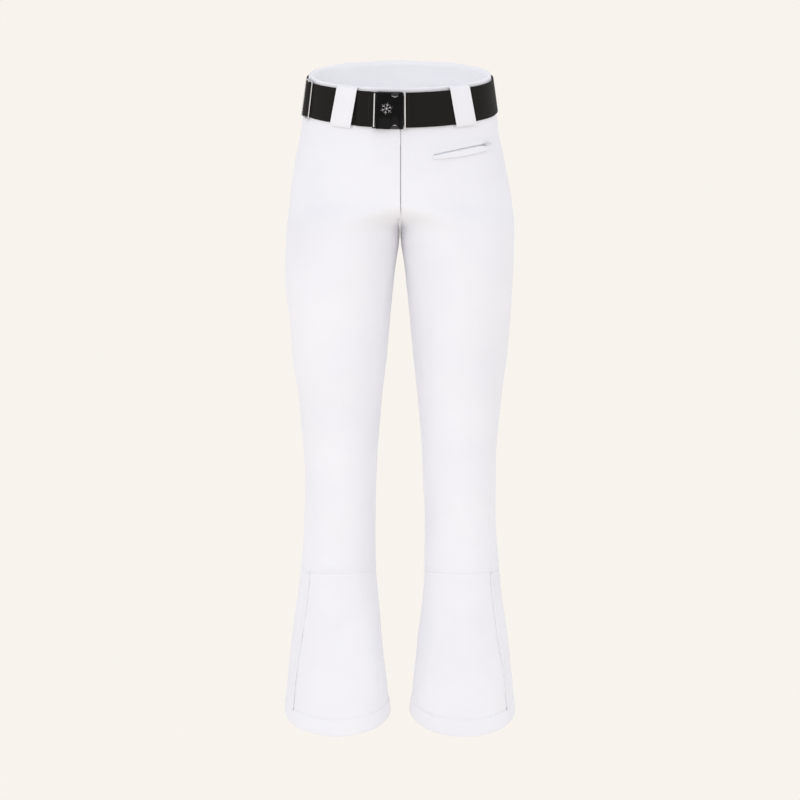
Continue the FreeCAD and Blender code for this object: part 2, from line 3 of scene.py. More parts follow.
import bmesh
import bpy
import numpy as np
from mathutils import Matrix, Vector


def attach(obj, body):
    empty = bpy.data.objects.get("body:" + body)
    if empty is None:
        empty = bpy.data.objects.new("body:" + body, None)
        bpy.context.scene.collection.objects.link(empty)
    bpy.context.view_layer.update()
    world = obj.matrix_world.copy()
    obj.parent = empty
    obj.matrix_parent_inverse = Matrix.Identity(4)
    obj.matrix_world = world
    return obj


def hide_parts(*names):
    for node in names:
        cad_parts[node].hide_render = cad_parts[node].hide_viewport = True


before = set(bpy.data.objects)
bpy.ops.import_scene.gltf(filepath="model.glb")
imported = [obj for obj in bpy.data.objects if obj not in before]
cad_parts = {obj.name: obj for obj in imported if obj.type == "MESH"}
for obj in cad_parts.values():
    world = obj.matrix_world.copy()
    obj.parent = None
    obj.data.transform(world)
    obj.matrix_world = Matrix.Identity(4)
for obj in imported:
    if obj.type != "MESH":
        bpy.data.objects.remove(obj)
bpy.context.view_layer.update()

# Fitted, flared softshell ski pants.  Shapes are worked out in millimetres with the formulas of the
# CAD model and turned into metres when a mesh is made.  +Z up, +X to the wearer's left, -Y to the front.

# ---------------------------------------------------------------- dimensions shared with the CAD model
MM = 0.001
CLOTH = 2.0
SEAM = 0.1
WAIST_TILT = 12.5
WAIST_HALF_DEPTH = 92.0
WAIST_SIDE_X = 73.0
WAIST_SIDE_R = 66.0
WAIST_FLARE = 0.149
BAND_DROP = 50.0
BELT_TOP = -5.0
BELT_BOTTOM = -57.0
STRAP = 1.4
LOW_LAYER = 1.6
HIGH_LAYER = 3.4
LOOP_CLOTH = 1.3
LOOP_WIDTH = 34.0
CROTCH_START = -180.0
CROTCH_Z = -243.0
CALF_SEAM_Z = -775.0
HEM_Z = -1003.0
HEM_BAND = 24.0
LOOP_LEFT_X = 94.0
LOOP_RIGHT_X = -84.0
LOOP_LEAN = 0.04
FRONT_LOOP_FOOT = 2.3
BACK_LOOP_FOOT = 0.4
LOOP_TACK = -59.0           # drop of the stitches across a loop's foot
BUCKLE_FROM = -35.0
BUCKLE_TO = 4.6
BAR_RIGHT_GAP = 2.8
BAR_LEFT_GAP = 2.5
FOLD_GAP = 5.1
BUCKLE_LOW = HIGH_LAYER + 1.6
BUCKLE_HIGH = HIGH_LAYER + 6.6
BAR_LIFT = HIGH_LAYER + 3.2
BAR_RADIUS = 1.5
FLY_TOP = 8.0
FLY_LENGTH = 118.0
FLY_DEPTH = 10.8
POCKET_DEPTH = 5.2
POCKET_FROM = (-103.4, 0.205)
POCKET_TO = (-96.0, 0.635)
STRIP_WIDTH = 8.0
ROUND_END = -115.0
BELT_MIDDLE = -31.25        # drop about which the front loops lean
PANEL_WIDTH = 235.0         # nominal width that the panels' grids are spaced for
STATIONS = np.array([
    (-48.8, 146.5, 0.0, 99.5, 99.5, 10.8, 12.5),
    (-85.0, 152.0, 0.0, 102.0, 109.0, 11.5, 10.5),
    (-115.0, 158.5, 0.0, 104.0, 116.0, 11.5, 8.5),
    (-150.0, 164.5, 0.0, 105.0, 120.0, 11.0, 6.0),
    (-190.0, 170.0, 0.0, 104.5, 119.0, 10.0, 3.0),
    (CROTCH_Z, 175.2, 0.2, 100.0, 108.0, 8.0, 0.5),
    (-300.0, 176.0, 8.3, 92.0, 95.0, 5.0, 0.0),
    (-400.0, 168.5, 17.3, 81.0, 82.0, 3.0, 0.0),
    (-504.0, 158.3, 27.3, 71.0, 72.0, 2.0, 0.0),
    (-630.0, 149.3, 36.9, 61.0, 61.0, 0.0, 0.0),
    (-700.0, 151.3, 38.6, 60.0, 61.0, 2.0, 0.0),
    (CALF_SEAM_Z, 157.0, 37.9, 61.0, 63.0, 3.0, 0.0),
    (-889.0, 171.5, 28.5, 66.0, 66.0, 2.0, 0.0),
    (HEM_Z, 183.0, 16.7, 71.0, 71.0, 1.0, 0.0),
])
SEAM_CURVE = np.array([(-48.0, 0.0), (-600.0, 0.0), (CALF_SEAM_Z, 7.0), (HEM_Z, -23.0)])
SIDE_TURN = np.array([(-48.0, 0.0), (-380.0, 0.0), (-537.0, 24.0), (CALF_SEAM_Z, 40.0), (HEM_Z, 28.0)])
WAIST_ARC_Y = (WAIST_SIDE_X ** 2 - (WAIST_HALF_DEPTH - WAIST_SIDE_R) ** 2) / (
    2.0 * (WAIST_HALF_DEPTH - WAIST_SIDE_R))
WAIST_LONG_R = WAIST_ARC_Y + WAIST_HALF_DEPTH
SIDE_ARC = math.degrees(math.atan2(WAIST_ARC_Y, WAIST_SIDE_X))


SIDES = ((1, "left"), (-1, "right"))


# ---------------------------------------------------------------- number helpers
def ij(*axes):
    """Grids of values, the first axis down the rows."""
    return np.meshgrid(*axes, indexing="ij")


def from_middle(grid):
    """Rough outward directions of a closed sheet's points."""
    return grid - grid.mean(axis=(0, 1))


def ease(t):
    """Smooth rise from 0 to 1."""
    t = np.clip(t, 0.0, 1.0)
    return t * t * (3.0 - 2.0 * t)


def bell(distance, width):
    """One at no distance, fading over a width."""
    return np.exp(-(distance / width) ** 2)


def along(table, z, column=1):
    """Monotone cubic through one column of a table that runs downwards."""
    xs = -table[:, 0]
    ys = table[:, column]
    x = np.clip(-np.asarray(z, float), xs[0], xs[-1])
    width = np.diff(xs)
    steps = np.diff(ys) / width
    slopes = np.empty(len(xs))
    slopes[0] = steps[0]
    slopes[-1] = steps[-1]
    product = steps[:-1] * steps[1:]
    total = steps[:-1] + steps[1:]
    slopes[1:-1] = np.where(product > 0, 2.0 * product / np.where(total == 0, 1.0, total), 0.0)
    i = np.clip(np.searchsorted(xs, x, side="right") - 1, 0, len(steps) - 1)
    t = (x - xs[i]) / width[i]
    return (ys[i] * (1 + 2 * t) * (1 - t) ** 2 + slopes[i] * width[i] * t * (1 - t) ** 2
            + ys[i + 1] * t * t * (3 - 2 * t) + slopes[i + 1] * width[i] * t * t * (t - 1))


def lattice(i, j, seed):
    """Fixed pseudo-random number for each whole i, j."""
    value = np.sin(i * 127.1 + j * 311.7 + seed * 74.7) * 43758.5453
    return value - np.floor(value)


def noise(x, y, seed=0):
    """Smooth value noise from -1 to 1."""
    i, j = np.floor(x), np.floor(y)
    u, v = ease(x - i), ease(y - j)
    low = lattice(i, j, seed) * (1 - u) + lattice(i + 1, j, seed) * u
    high = lattice(i, j + 1, seed) * (1 - u) + lattice(i + 1, j + 1, seed) * u
    return 2.0 * (low * (1 - v) + high * v) - 1.0


# ---------------------------------------------------------------- the shape of the pants
def opening_angle(z):
    return np.pi / 2 * (1.0 - ease((CROTCH_START - z) / (CROTCH_START - CROTCH_Z)))


def section_point(z, angle):
    outer, inner, front, back = [along(STATIONS, z, k) for k in range(1, 5)]
    start = opening_angle(z)
    half = (outer - inner) / (1.0 + np.cos(start))
    centre = inner + half * np.cos(start)
    depth = np.where(angle <= np.pi, front, back)
    x = centre - half * np.cos(angle)
    y = -depth * np.sin(angle)
    blend = ease((z - ROUND_END) / (STATIONS[0][0] - ROUND_END))
    psi = angle - np.pi
    extra = WAIST_FLARE * BAND_DROP
    at_side = np.abs(psi) < math.radians(SIDE_ARC)
    side_r = WAIST_SIDE_R + extra
    long_r = WAIST_LONG_R + extra
    ax = np.where(at_side, WAIST_SIDE_X + side_r * np.cos(psi), long_r * np.cos(psi))
    ay = np.where(at_side, side_r * np.sin(psi), long_r * np.sin(psi) - np.copysign(WAIST_ARC_Y, psi))
    x = x + blend * (ax * outer / STATIONS[0][1] - x)
    y = y + blend * (ay * depth / STATIONS[0][3] - y)
    return x, y, centre


def cloth_point(z, angle, lift, side):
    """Points of the pants in mm, lifted off the cloth's face; arrays of one shape."""
    z, angle, lift = np.broadcast_arrays(np.asarray(z, float), angle, lift)
    x, y, centre = section_point(z, angle)
    xa, ya, _ = section_point(z, angle + 1e-3)
    xb, yb, _ = section_point(z, angle - 1e-3)
    nx, ny = ya - yb, xb - xa
    size = np.hypot(nx, ny)
    nx, ny = nx / size, ny / size
    flip = np.where(nx * (x - centre) + ny * y < 0, -1.0, 1.0)
    x = x + lift * nx * flip
    y = y + lift * ny * flip
    lean = np.radians(along(STATIONS, z, 6))
    drop = along(SEAM_CURVE, z) * np.abs(np.sin(angle))
    return np.stack([side * (x + SEAM), along(STATIONS, z, 5) + y * np.cos(lean),
                     z + y * np.sin(lean) + drop], axis=-1)


def side_seam_angle(z):
    return np.pi - np.radians(along(SIDE_TURN, z))


def panel_angle(z, u, face):
    gap = 2.0 * SEAM / (STATIONS[0][1] + WAIST_HALF_DEPTH)
    first = opening_angle(z) + gap
    seam = side_seam_angle(z)
    if face < 0:
        return first + (seam - gap - first) * u
    first = 2.0 * np.pi - first
    return first + (seam + gap - first) * u


# ---------------------------------------------------------------- the waist's own frame
def waist_point(theta, drop, lift):
    """Points of the waist's oval in mm, in the pants' frame; theta in degrees, drop along its axis."""
    theta, drop, lift = np.broadcast_arrays(np.asarray(theta, float), drop, lift)
    turn = (theta + 180.0) % 360.0 - 180.0
    left = np.abs(turn) <= SIDE_ARC
    right = np.abs(turn) >= 180.0 - SIDE_ARC
    cx = np.where(left, WAIST_SIDE_X, np.where(right, -WAIST_SIDE_X, 0.0))
    cy = np.where(left | right, 0.0, np.where(turn < 0, WAIST_ARC_Y, -WAIST_ARC_Y))
    radius = np.where(left | right, WAIST_SIDE_R, WAIST_LONG_R) + lift - WAIST_FLARE * drop
    a = np.radians(turn)
    x, y = cx + radius * np.cos(a), cy + radius * np.sin(a)
    c, s = math.cos(math.radians(WAIST_TILT)), math.sin(math.radians(WAIST_TILT))
    return np.stack([x, y * c - drop * s, y * s + drop * c], axis=-1)


def front_angle(x):
    """Normal angle in degrees on the front arc at a given x, at mid belt height."""
    middle = (BELT_TOP + BELT_BOTTOM) / 2.0
    return -90.0 + np.degrees(np.arcsin(np.asarray(x) / (WAIST_LONG_R + HIGH_LAYER - WAIST_FLARE * middle)))


# ---------------------------------------------------------------- mesh helpers
def finish_mesh(obj, sharp=40.0):
    mesh = obj.data
    bm = bmesh.new()
    bm.from_mesh(mesh)
    bmesh.ops.recalc_face_normals(bm, faces=bm.faces)
    bm.to_mesh(mesh)
    bm.free()
    for polygon in mesh.polygons:
        polygon.use_smooth = True
    mesh.set_sharp_from_angle(angle=math.radians(sharp))
    return obj


def mesh_object(name, points, faces, uvs=None):
    """Object from points in mm; uvs is one (u, v) in mm for each point."""
    mesh = bpy.data.meshes.new(name)
    mesh.from_pydata((np.asarray(points, float).reshape(-1, 3) * MM).tolist(), [], faces)
    if uvs is not None:
        layer = mesh.uv_layers.new(name="UVMap")
        index = np.empty(len(mesh.loops), dtype=np.int32)
        mesh.loops.foreach_get("vertex_index", index)
        flat = np.asarray(uvs, float).reshape(-1, 2)[index]
        layer.data.foreach_set("uv", flat.ravel())
    obj = bpy.data.objects.new(name, mesh)
    bpy.context.scene.collection.objects.link(obj)
    return obj


def quads(rows, columns, start=0, wrap_columns=False, wrap_rows=False):
    faces = []
    for i in range(rows if wrap_rows else rows - 1):
        for j in range(columns if wrap_columns else columns - 1):
            a = start + i * columns + j
            b = start + i * columns + (j + 1) % columns
            c = start + ((i + 1) % rows) * columns + (j + 1) % columns
            d = start + ((i + 1) % rows) * columns + j
            faces.append((a, b, c, d))
    return faces


def shell(name, outer, inner, uvs, hole=None):
    """Closed sheet between two grids; hole is a row and the first and last column of a slit."""
    rows, columns = outer.shape[:2]
    count = rows * columns
    face = quads(rows, columns)
    if hole:
        row, first, last = hole
        face = face[:row * (columns - 1) + first] + face[row * (columns - 1) + last:]
    uses = {}
    for quad in face:
        for side in zip(quad, quad[1:] + quad[:1]):
            side = tuple(sorted(side))
            uses[side] = uses.get(side, 0) + 1
    faces = face + [tuple(count + k for k in quad) for quad in face]
    faces += [(a, b, count + b, count + a) for (a, b), times in uses.items() if times == 1]
    points = np.concatenate([outer.reshape(-1, 3), inner.reshape(-1, 3)])
    both = np.concatenate([uvs.reshape(-1, 2), uvs.reshape(-1, 2)])
    return finish_mesh(mesh_object(name, points, faces, both))


def loft(name, rings, closed=False, sharp=40.0):
    """Solid through a row of closed rings of points, capped unless it closes on itself."""
    rings = np.asarray(rings, float)
    rows, columns = rings.shape[:2]
    faces = quads(rows, columns, 0, True, closed)
    if not closed:
        faces.append(tuple(range(columns)))
        faces.append(tuple((rows - 1) * columns + k for k in range(columns)))
    run = np.cumsum(np.r_[0, np.linalg.norm(np.diff(rings.mean(axis=1), axis=0), axis=1)])
    around = np.cumsum(np.r_[0, np.linalg.norm(np.diff(rings[0], axis=0), axis=1)])
    u, v = ij(run, around)
    return finish_mesh(mesh_object(name, rings, faces, np.stack([u, v], -1)), sharp)


def tube(name, path, radius, sides=12, closed=False):
    """Round bar or wire along a path of points in mm; the radius may change along it."""
    path = np.asarray(path, float)
    radius = np.broadcast_to(radius, len(path))
    ahead = np.roll(path, -1, 0) - np.roll(path, 1, 0)
    if not closed:
        ahead[0] = path[1] - path[0]
        ahead[-1] = path[-1] - path[-2]
    ahead /= np.linalg.norm(ahead, axis=1)[:, None]
    normal = np.cross(ahead[0], (0.31, 0.95, 0.07))
    turn = np.linspace(0, 2 * np.pi, sides, endpoint=False)
    rings = []
    for point, way, size in zip(path, ahead, radius):
        normal = normal - way * normal.dot(way)
        normal /= np.linalg.norm(normal)
        side = np.cross(way, normal)
        rings.append(point + size * (np.cos(turn)[:, None] * normal + np.sin(turn)[:, None] * side))
    return loft(name, rings, closed, 60.0)


def run_lengths(grid, axis):
    """Distance in mm of each point of a grid from the grid's first row or column."""
    steps = np.linalg.norm(np.diff(grid, axis=axis), axis=-1)
    pad = [(0, 0), (0, 0)]
    pad[axis] = (1, 0)
    return np.pad(np.cumsum(steps, axis=axis), pad)


def pinch(distance, radius):
    """Share of full thickness near a soft edge."""
    return np.sqrt(np.clip(1.0 - (1.0 - np.clip(distance / radius, 0, 1)) ** 2, 0.02, 1.0))


def thick(name, middle, thickness, outward, soft=0.6, relief=None):
    """Sheet of cloth or webbing about a grid of middle points, with rounded edges all round.

    outward is a rough direction for the face that relief(u, v) lifts, u and v in mm."""
    across, down = np.gradient(middle, axis=1), np.gradient(middle, axis=0)
    normal = np.cross(across, down)
    normal /= np.linalg.norm(normal, axis=-1, keepdims=True)
    if (normal * np.asarray(outward)).sum() < 0:
        normal = -normal
    u, v = run_lengths(middle, 1), run_lengths(middle, 0)
    half = thickness / 2.0
    for run, last in ((u, u[:, -1:]), (v, v[-1:, :])):
        half = half * pinch(np.minimum(run, last - run), soft)
    lift = relief(u, v)[..., None] if relief else 0.0
    half = half[..., None]
    return shell(name, middle + normal * (half + lift), middle - normal * (half - lift),
                 np.stack([u, v], -1))


def smooth_path(points, count):
    """Catmull-Rom curve through a few points, spaced evenly along its length."""
    p = np.asarray(points, float)
    p = np.vstack([2 * p[0] - p[1], p, 2 * p[-1] - p[-2]])
    t = np.linspace(0, 1, 24)[:, None]
    pieces = []
    for a, b, c, d in zip(p, p[1:], p[2:], p[3:]):
        pieces.append(0.5 * (2 * b + (c - a) * t + (2 * a - 5 * b + 4 * c - d) * t ** 2
                             + (3 * b - a - 3 * c + d) * t ** 3))
    line = np.vstack(pieces)
    run = np.r_[0, np.cumsum(np.linalg.norm(np.diff(line, axis=0), axis=1))]
    even = np.linspace(0, run[-1], count)
    return np.stack([np.interp(even, run, line[:, k]) for k in range(line.shape[1])], axis=1)


def spaced(length, fine, coarse, growth=1.35):
    """Places along a length, closer together near both ends."""
    steps = [0.0]
    step = fine
    while steps[-1] + step < length / 2 and step < coarse:
        steps.append(steps[-1] + step)
        step *= growth
    rest = length - 2 * steps[-1]
    inside = np.linspace(0, rest, max(2, int(rest / coarse) + 2)) + steps[-1]
    return np.r_[steps[:-1], inside, length - np.array(steps[:-1])[::-1]]


def join(name, objects):
    for other in objects[1:]:
        with bpy.context.temp_override(active_object=objects[0], selected_editable_objects=[objects[0], other]):
            bpy.ops.object.join()
    objects[0].name = name
    objects[0].data.name = name
    return objects[0]


def show(obj, material, body="pants"):
    """Give a piece its look and body; v_NODE stands for the CAD node of that name."""
    obj.data.materials.clear()
    obj.data.materials.append(material)
    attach(obj, body)
    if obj.name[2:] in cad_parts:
        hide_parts(obj.name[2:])


# ---------------------------------------------------------------- materials
class Nodes:
    """Short hand for one material's nodes; settings are named as sockets, with _ for a space."""

    def __init__(self, name):
        self.material = bpy.data.materials.new(name)
        self.material.use_nodes = True
        self.tree = self.material.node_tree
        self.shader = self.tree.nodes["Principled BSDF"]
        source = self.add("TexCoord")
        self.uv, self.place = source.outputs["UV"], source.outputs["Object"]

    def link(self, out, into):
        self.tree.links.new(out, into)

    def add(self, kind, **settings):
        node = self.tree.nodes.new("ShaderNode" + kind)
        for key, value in settings.items():
            socket = key.replace("_", " ")
            if isinstance(value, bpy.types.NodeSocket):
                self.link(value, node.inputs[socket])
            elif socket in node.inputs:
                node.inputs[socket].default_value = value
            else:
                setattr(node, key, value)
        return node

    def wave(self, vector, direction, scale, distortion=0.0, detail=2.0):
        return self.add("TexWave", bands_direction=direction, Vector=vector, Scale=scale,
                        Distortion=distortion, Detail=detail).outputs["Fac"]

    def noise(self, scale, detail=3.0, rough=0.5):
        return self.add("TexNoise", Vector=self.place, Scale=scale, Detail=detail,
                        Roughness=rough).outputs["Fac"]

    def ramp(self, factor, low, high, start=0.0, end=1.0):
        return self.add("MapRange", Value=factor, From_Min=start, From_Max=end, To_Min=low,
                        To_Max=high).outputs["Result"]

    def tint(self, factor, low, high):
        node = self.add("Mix", data_type="RGBA")
        for index, colour in ((6, low), (7, high)):
            node.inputs[index].default_value = (*colour, 1.0)
        self.link(factor, node.inputs[0])
        self.link(node.outputs[2], self.shader.inputs["Base Color"])

    def done(self, bumps, strength, rough=None, **settings):
        """Bump from heights, each with its depth in metres, a roughness output and constants."""
        before = None
        for height, depth in bumps:
            node = self.add("Bump", Strength=strength, Distance=depth, Height=height)
            if before:
                self.link(before, node.inputs["Normal"])
            before = node.outputs["Normal"]
            self.link(before, self.shader.inputs["Normal"])
        if rough:
            self.link(rough, self.shader.inputs["Roughness"])
        for key, value in settings.items():
            self.shader.inputs[key.replace("_", " ")].default_value = value
        return self.material


def softshell(name, low, high, rough):
    """Smooth bonded stretch cloth: a tight twill, a soft bloom and faint tone changes."""
    n = Nodes(name)
    twill, grain, cloud = n.wave(n.uv, "DIAGONAL", 0.42, 0.6, 1.0), n.noise(1400.0, 2.0), n.noise(9.0)
    n.tint(n.ramp(cloud, 0.0, 1.0, 0.3, 0.7), low, high)
    return n.done([(twill, 0.00005), (grain, 0.00009), (cloud, 0.0006)], 0.55,
                  n.ramp(grain, rough - 0.06, rough + 0.08),
                  Specular_IOR_Level=0.32, Sheen_Weight=0.18, Sheen_Roughness=0.45)


def lining(name):
    """Light plain-woven lining with a slight gloss."""
    n = Nodes(name)
    warp, weft = [n.wave(n.uv, way, 0.5, 0.4) for way in "XY"]
    cloud = n.noise(14.0)
    n.tint(cloud, (0.74, 0.74, 0.78), (0.84, 0.84, 0.87))
    return n.done([(warp, 0.00008), (weft, 0.00008), (cloud, 0.0008)], 0.5,
                  Roughness=0.5, Specular_IOR_Level=0.4)


def elastic_webbing(name):
    """Black elastic: ribs across, fine yarns along, warm grey where the rubber shows."""
    n = Nodes(name)
    ribs, yarns, fuzz = n.wave(n.uv, "X", 0.26, 1.2), n.wave(n.uv, "Y", 0.40, 0.8), n.noise(900.0)
    product = n.add("Math", operation="MULTIPLY")
    n.link(ribs, product.inputs[0])
    n.link(yarns, product.inputs[1])
    weave = product.outputs["Value"]
    n.tint(n.ramp(weave, 0.0, 1.0, 0.1, 0.8), (0.005, 0.0042, 0.0034), (0.015, 0.0130, 0.0105))
    return n.done([(weave, 0.0004), (fuzz, 0.0001)], 0.7, n.ramp(fuzz, 0.55, 0.8),
                  Specular_IOR_Level=0.18, Sheen_Weight=0.04, Sheen_Roughness=0.4)


def corded_elastic(name):
    """White gathered elastic with lengthwise cords."""
    n = Nodes(name)
    cords, fuzz = n.wave(n.uv, "Y", 0.22), n.noise(700.0)
    n.tint(cords, (0.70, 0.70, 0.73), (0.84, 0.84, 0.87))
    return n.done([(cords, 0.0004), (fuzz, 0.0001)], 0.7, Roughness=0.7)


def polished(name, low, high, metallic, rough, coat=0.0, level=0.5):
    """Polished plastic or metal with faint handling marks."""
    n = Nodes(name)
    smear, fine = n.noise(60.0, 4.0, 0.6), n.noise(900.0, 2.0)
    n.tint(smear, low, high)
    return n.done([(fine, 0.00001)], 0.2, n.ramp(smear, rough * 0.6, rough * 1.5, 0.3, 0.7),
                  Metallic=metallic, Coat_Weight=coat, Coat_Roughness=0.04, Specular_IOR_Level=level)


def moulded(name, low, high):
    """Moulded plastic with a fine spark texture."""
    n = Nodes(name)
    spark, cloud = n.noise(1500.0, 2.0), n.noise(40.0)
    n.tint(cloud, low, high)
    return n.done([(spark, 0.00003)], 0.4, n.ramp(spark, 0.37, 0.55))


def twisted_thread(name, low, high):
    """Twisted sewing thread."""
    n = Nodes(name)
    twist = n.wave(n.place, "DIAGONAL", 900.0)
    n.tint(twist, low, high)
    return n.done([(twist, 0.00005)], 0.5, Roughness=0.55, Sheen_Weight=0.1)


WHITE = softshell("softshell_white", (0.83, 0.83, 0.865), (0.87, 0.87, 0.90), 0.66)
# The waistband facing is a lighter copy of the outer cloth: painted light that lifts the shade inside the
# waistband.
FACING_PAINTED_LIGHT = softshell("white_facing", (0.86, 0.86, 0.885), (0.90, 0.90, 0.915), 0.6)
LINING = lining("white_lining")
TAPE = lining("white_zip_tape")
WEBBING = elastic_webbing("black_elastic_webbing")
ELASTIC = corded_elastic("white_elastic")
GLOSS = polished("black_lacquer", (0.0030, 0.0028, 0.0028), (0.0045, 0.0042, 0.0045), 0.0, 0.10, 0.03, 0.06)
CHROME = polished("dark_chrome", (0.52, 0.51, 0.50), (0.60, 0.59, 0.58), 1.0, 0.14)
NICKEL = polished("bright_nickel", (0.72, 0.72, 0.73), (0.80, 0.80, 0.80), 1.0, 0.18)
BLACK = moulded("black_acetal", (0.012, 0.012, 0.012), (0.022, 0.021, 0.021))
TEETH = moulded("white_zip_teeth", (0.76, 0.76, 0.79), (0.84, 0.84, 0.86))
THREAD = twisted_thread("white_thread", (0.78, 0.78, 0.80), (0.88, 0.88, 0.90))
BLACK_THREAD = twisted_thread("black_thread", (0.012, 0.011, 0.010), (0.03, 0.028, 0.026))


# ---------------------------------------------------------------- cloth surface
FLY_FLAP = 32.0             # from the centre to the curved topstitch
FLY_CURVE = -186.0          # where the topstitch starts to turn in
FLY_END = -217.0
FLY_SEEN = -58.0            # where the fly comes out from under the waistband
CREASES = (                 # start, end, width, height of soft folds seen from the front
    ((-4.0, -236.0), (-66.0, -196.0), 5.5, -0.6),
    ((4.0, -236.0), (60.0, -200.0), 5.5, -0.5),
    ((-5.0, -248.0), (-52.0, -262.0), 6.0, -0.6),
    ((5.0, -248.0), (58.0, -268.0), 6.0, -0.6),
    ((-8.0, -262.0), (-24.0, -330.0), 7.0, 1.2),
    ((8.0, -262.0), (26.0, -322.0), 7.0, 1.1),
    ((-2.0, -214.0), (-9.0, -248.0), 3.6, -0.6),
    ((2.5, -214.0), (8.0, -248.0), 3.6, -0.6),
    ((68.0, -622.0), (140.0, -744.0), 9.0, 1.6),
    ((56.0, -655.0), (112.0, -752.0), 10.0, -1.3),
    ((-140.0, -748.0), (-72.0, -764.0), 8.0, 1.2),
    ((-128.0, -700.0), (-66.0, -745.0), 12.0, -1.0),
    ((-50.0, -560.0), (-118.0, -606.0), 14.0, 1.0),
    ((48.0, -548.0), (120.0, -590.0), 14.0, 1.0),
    ((-60.0, -520.0), (-130.0, -500.0), 16.0, -0.9),
    ((60.0, -515.0), (128.0, -498.0), 16.0, -0.9),
    ((-142.0, -800.0), (-80.0, -850.0), 14.0, 1.3),
    ((-60.0, -810.0), (-110.0, -900.0), 16.0, -1.4),
    ((-150.0, -880.0), (-165.0, -985.0), 14.0, 1.3),
    ((-48.0, -860.0), (-36.0, -990.0), 13.0, 1.2),
    ((142.0, -800.0), (84.0, -852.0), 14.0, 1.3),
    ((58.0, -815.0), (112.0, -905.0), 16.0, -1.4),
    ((150.0, -890.0), (162.0, -985.0), 14.0, 1.2),
    ((46.0, -870.0), (34.0, -990.0), 13.0, 1.3),
    ((-98.0, -140.0), (-140.0, -215.0), 16.0, 0.9),
    ((104.0, -170.0), (140.0, -235.0), 16.0, 0.9),
)
BACK_CREASES = (            # the same, on both legs seen from behind
    ((10.0, -236.0), (92.0, -212.0), 9.0, -1.6),
    ((30.0, -480.0), (130.0, -505.0), 12.0, -1.5),
    ((35.0, -525.0), (125.0, -535.0), 13.0, 1.4),
)


def crease(x, z, start, end, width, height):
    """Soft ridge or valley between two points seen from the front; it fades at both ends."""
    ax, az = start
    dx, dz = end[0] - ax, end[1] - az
    t = np.clip(((x - ax) * dx + (z - az) * dz) / (dx * dx + dz * dz), 0.0, 1.0)
    off = np.hypot(x - ax - dx * t, z - az - dz * t)
    return 1.35 * height * bell(off, width) * ease(t / 0.35) * ease((1.0 - t) / 0.35)


def flap_edge(x, z):
    """Signed distance in mm from the fly's curved topstitch, positive towards the fly."""
    curve = np.hypot(x / FLY_FLAP, (FLY_CURVE - z) / (FLY_CURVE - FLY_END))
    return np.where(z > FLY_CURVE, x + FLY_FLAP, (1.0 - curve) * FLY_FLAP)


def fly_share(z):
    """One beside the open part of the fly, none above and below it."""
    return ease((FLY_SEEN - z) / 8.0) * ease((z + 215.0) / 5.0)


def surface_lift(base, side):
    """Folds and puckers of the cloth in mm at points of its plain surface."""
    x, y, z = base[..., 0], base[..., 1], base[..., 2]
    loose = ease((-66.0 - z) / 30.0)
    lift = 1.5 * noise(x / 82.0 + y / 75.0, z / 105.0, 1) + 0.9 * noise(x / 41.0 - y / 47.0, z / 63.0, 2)
    lift = lift + 0.16 * noise(x / 13.0 + y / 15.0, z / 19.0, 3)
    front = ease(-y / 25.0)
    for item in CREASES:
        lift = lift + front * crease(x, z, *item)
    back = ease(y / 25.0)
    for start, end, width, height in BACK_CREASES:
        for sign in (-1.0, 1.0):
            lift = lift + back * crease(sign * x, z, start, end, width, height)
    lift = lift * loose
    if side < 0:
        inward = flap_edge(x, z)
        near = fly_share(z) * front
        lift = lift + near * (0.55 * ease(inward / 1.6) + 0.35 * bell(x + 9.0, 2.6) + 0.2 * bell(x + 19.0, 3.0))
        held = front * ease((FLY_SEEN - z) / 8.0) * ease((z + 224.0) / 5.0)
        lift = lift - held * (0.75 - 0.3 * noise(z / 4.6 + x / 6.0, 0 * z, 4)) * bell(inward, 1.1)
        lift = lift + held * 0.25 * noise(z / 6.5 - x / 9.0, x / 11.0, 5) * bell(inward, 7.0)
    return lift


def panel_piece(name, face, side, z, u, hem=False, hole=None, relief=None):
    """One cloth panel over grids of heights and shares, with sunk seams on all four sides."""
    angle = panel_angle(z, u, face)
    base = cloth_point(z, angle, 0.0, side)
    lift = surface_lift(base, side)
    x, height = base[..., 0], base[..., 2]
    across, down = run_lengths(base, 1), run_lengths(base, 0)
    centre, seam = across, across[:, -1:] - across
    top, bottom = down, down[-1:, :] - down
    fly = fly_share(height) if face < 0 else np.zeros_like(height)
    for distance, along_seam, keep in ((centre, height, 1.0 - fly), (seam, height, 1.0),
                                       (top, x, 1.0), (bottom, x, 0.0 if hem else 1.0)):
        lift = lift - keep * 0.6 * bell(distance, 1.3)
        lift = lift + keep * 0.3 * noise(along_seam / 5.2, distance / 9.0, 6) * bell(distance - 3.0, 5.0)
    if hem:
        lift = lift - 1.1 * bell(bottom - HEM_BAND, 1.4) + 0.65 * ease((HEM_BAND - bottom) / 2.2)
        lift = lift + 0.35 * noise(x / 7.5, bottom / 14.0, 7) * bell(bottom - HEM_BAND, 9.0)
    else:
        lift = lift - 0.3 * bell(bottom - 5.0, 0.9)
    if relief:
        lift = lift + relief(base)
    edge = 0.0
    if face < 0:
        edge = fly * (0.3 * bell(centre, 3.0) if side < 0 else -1.5 * bell(centre, 1.8))
    outer = cloth_point(z, angle, lift + edge, side)
    inner = cloth_point(z, angle, 0.75 * lift + edge - CLOTH, side)
    if face < 0:
        shift = fly * (0.45 * bell(centre, 3.0) if side < 0 else 0.7 * bell(centre, 4.0))
        outer[..., 0] += shift
        inner[..., 0] += shift
    if hem:
        roll = bell(bottom, 0.9)[..., None]
        middle = (outer + inner) / 2.0
        outer = outer + (middle - outer) * 0.7 * roll
        inner = inner + (middle - inner) * 0.7 * roll
    obj = shell(name, outer, inner, np.stack([across, down], -1), hole)
    show(obj, WHITE)
    line_inside(obj)


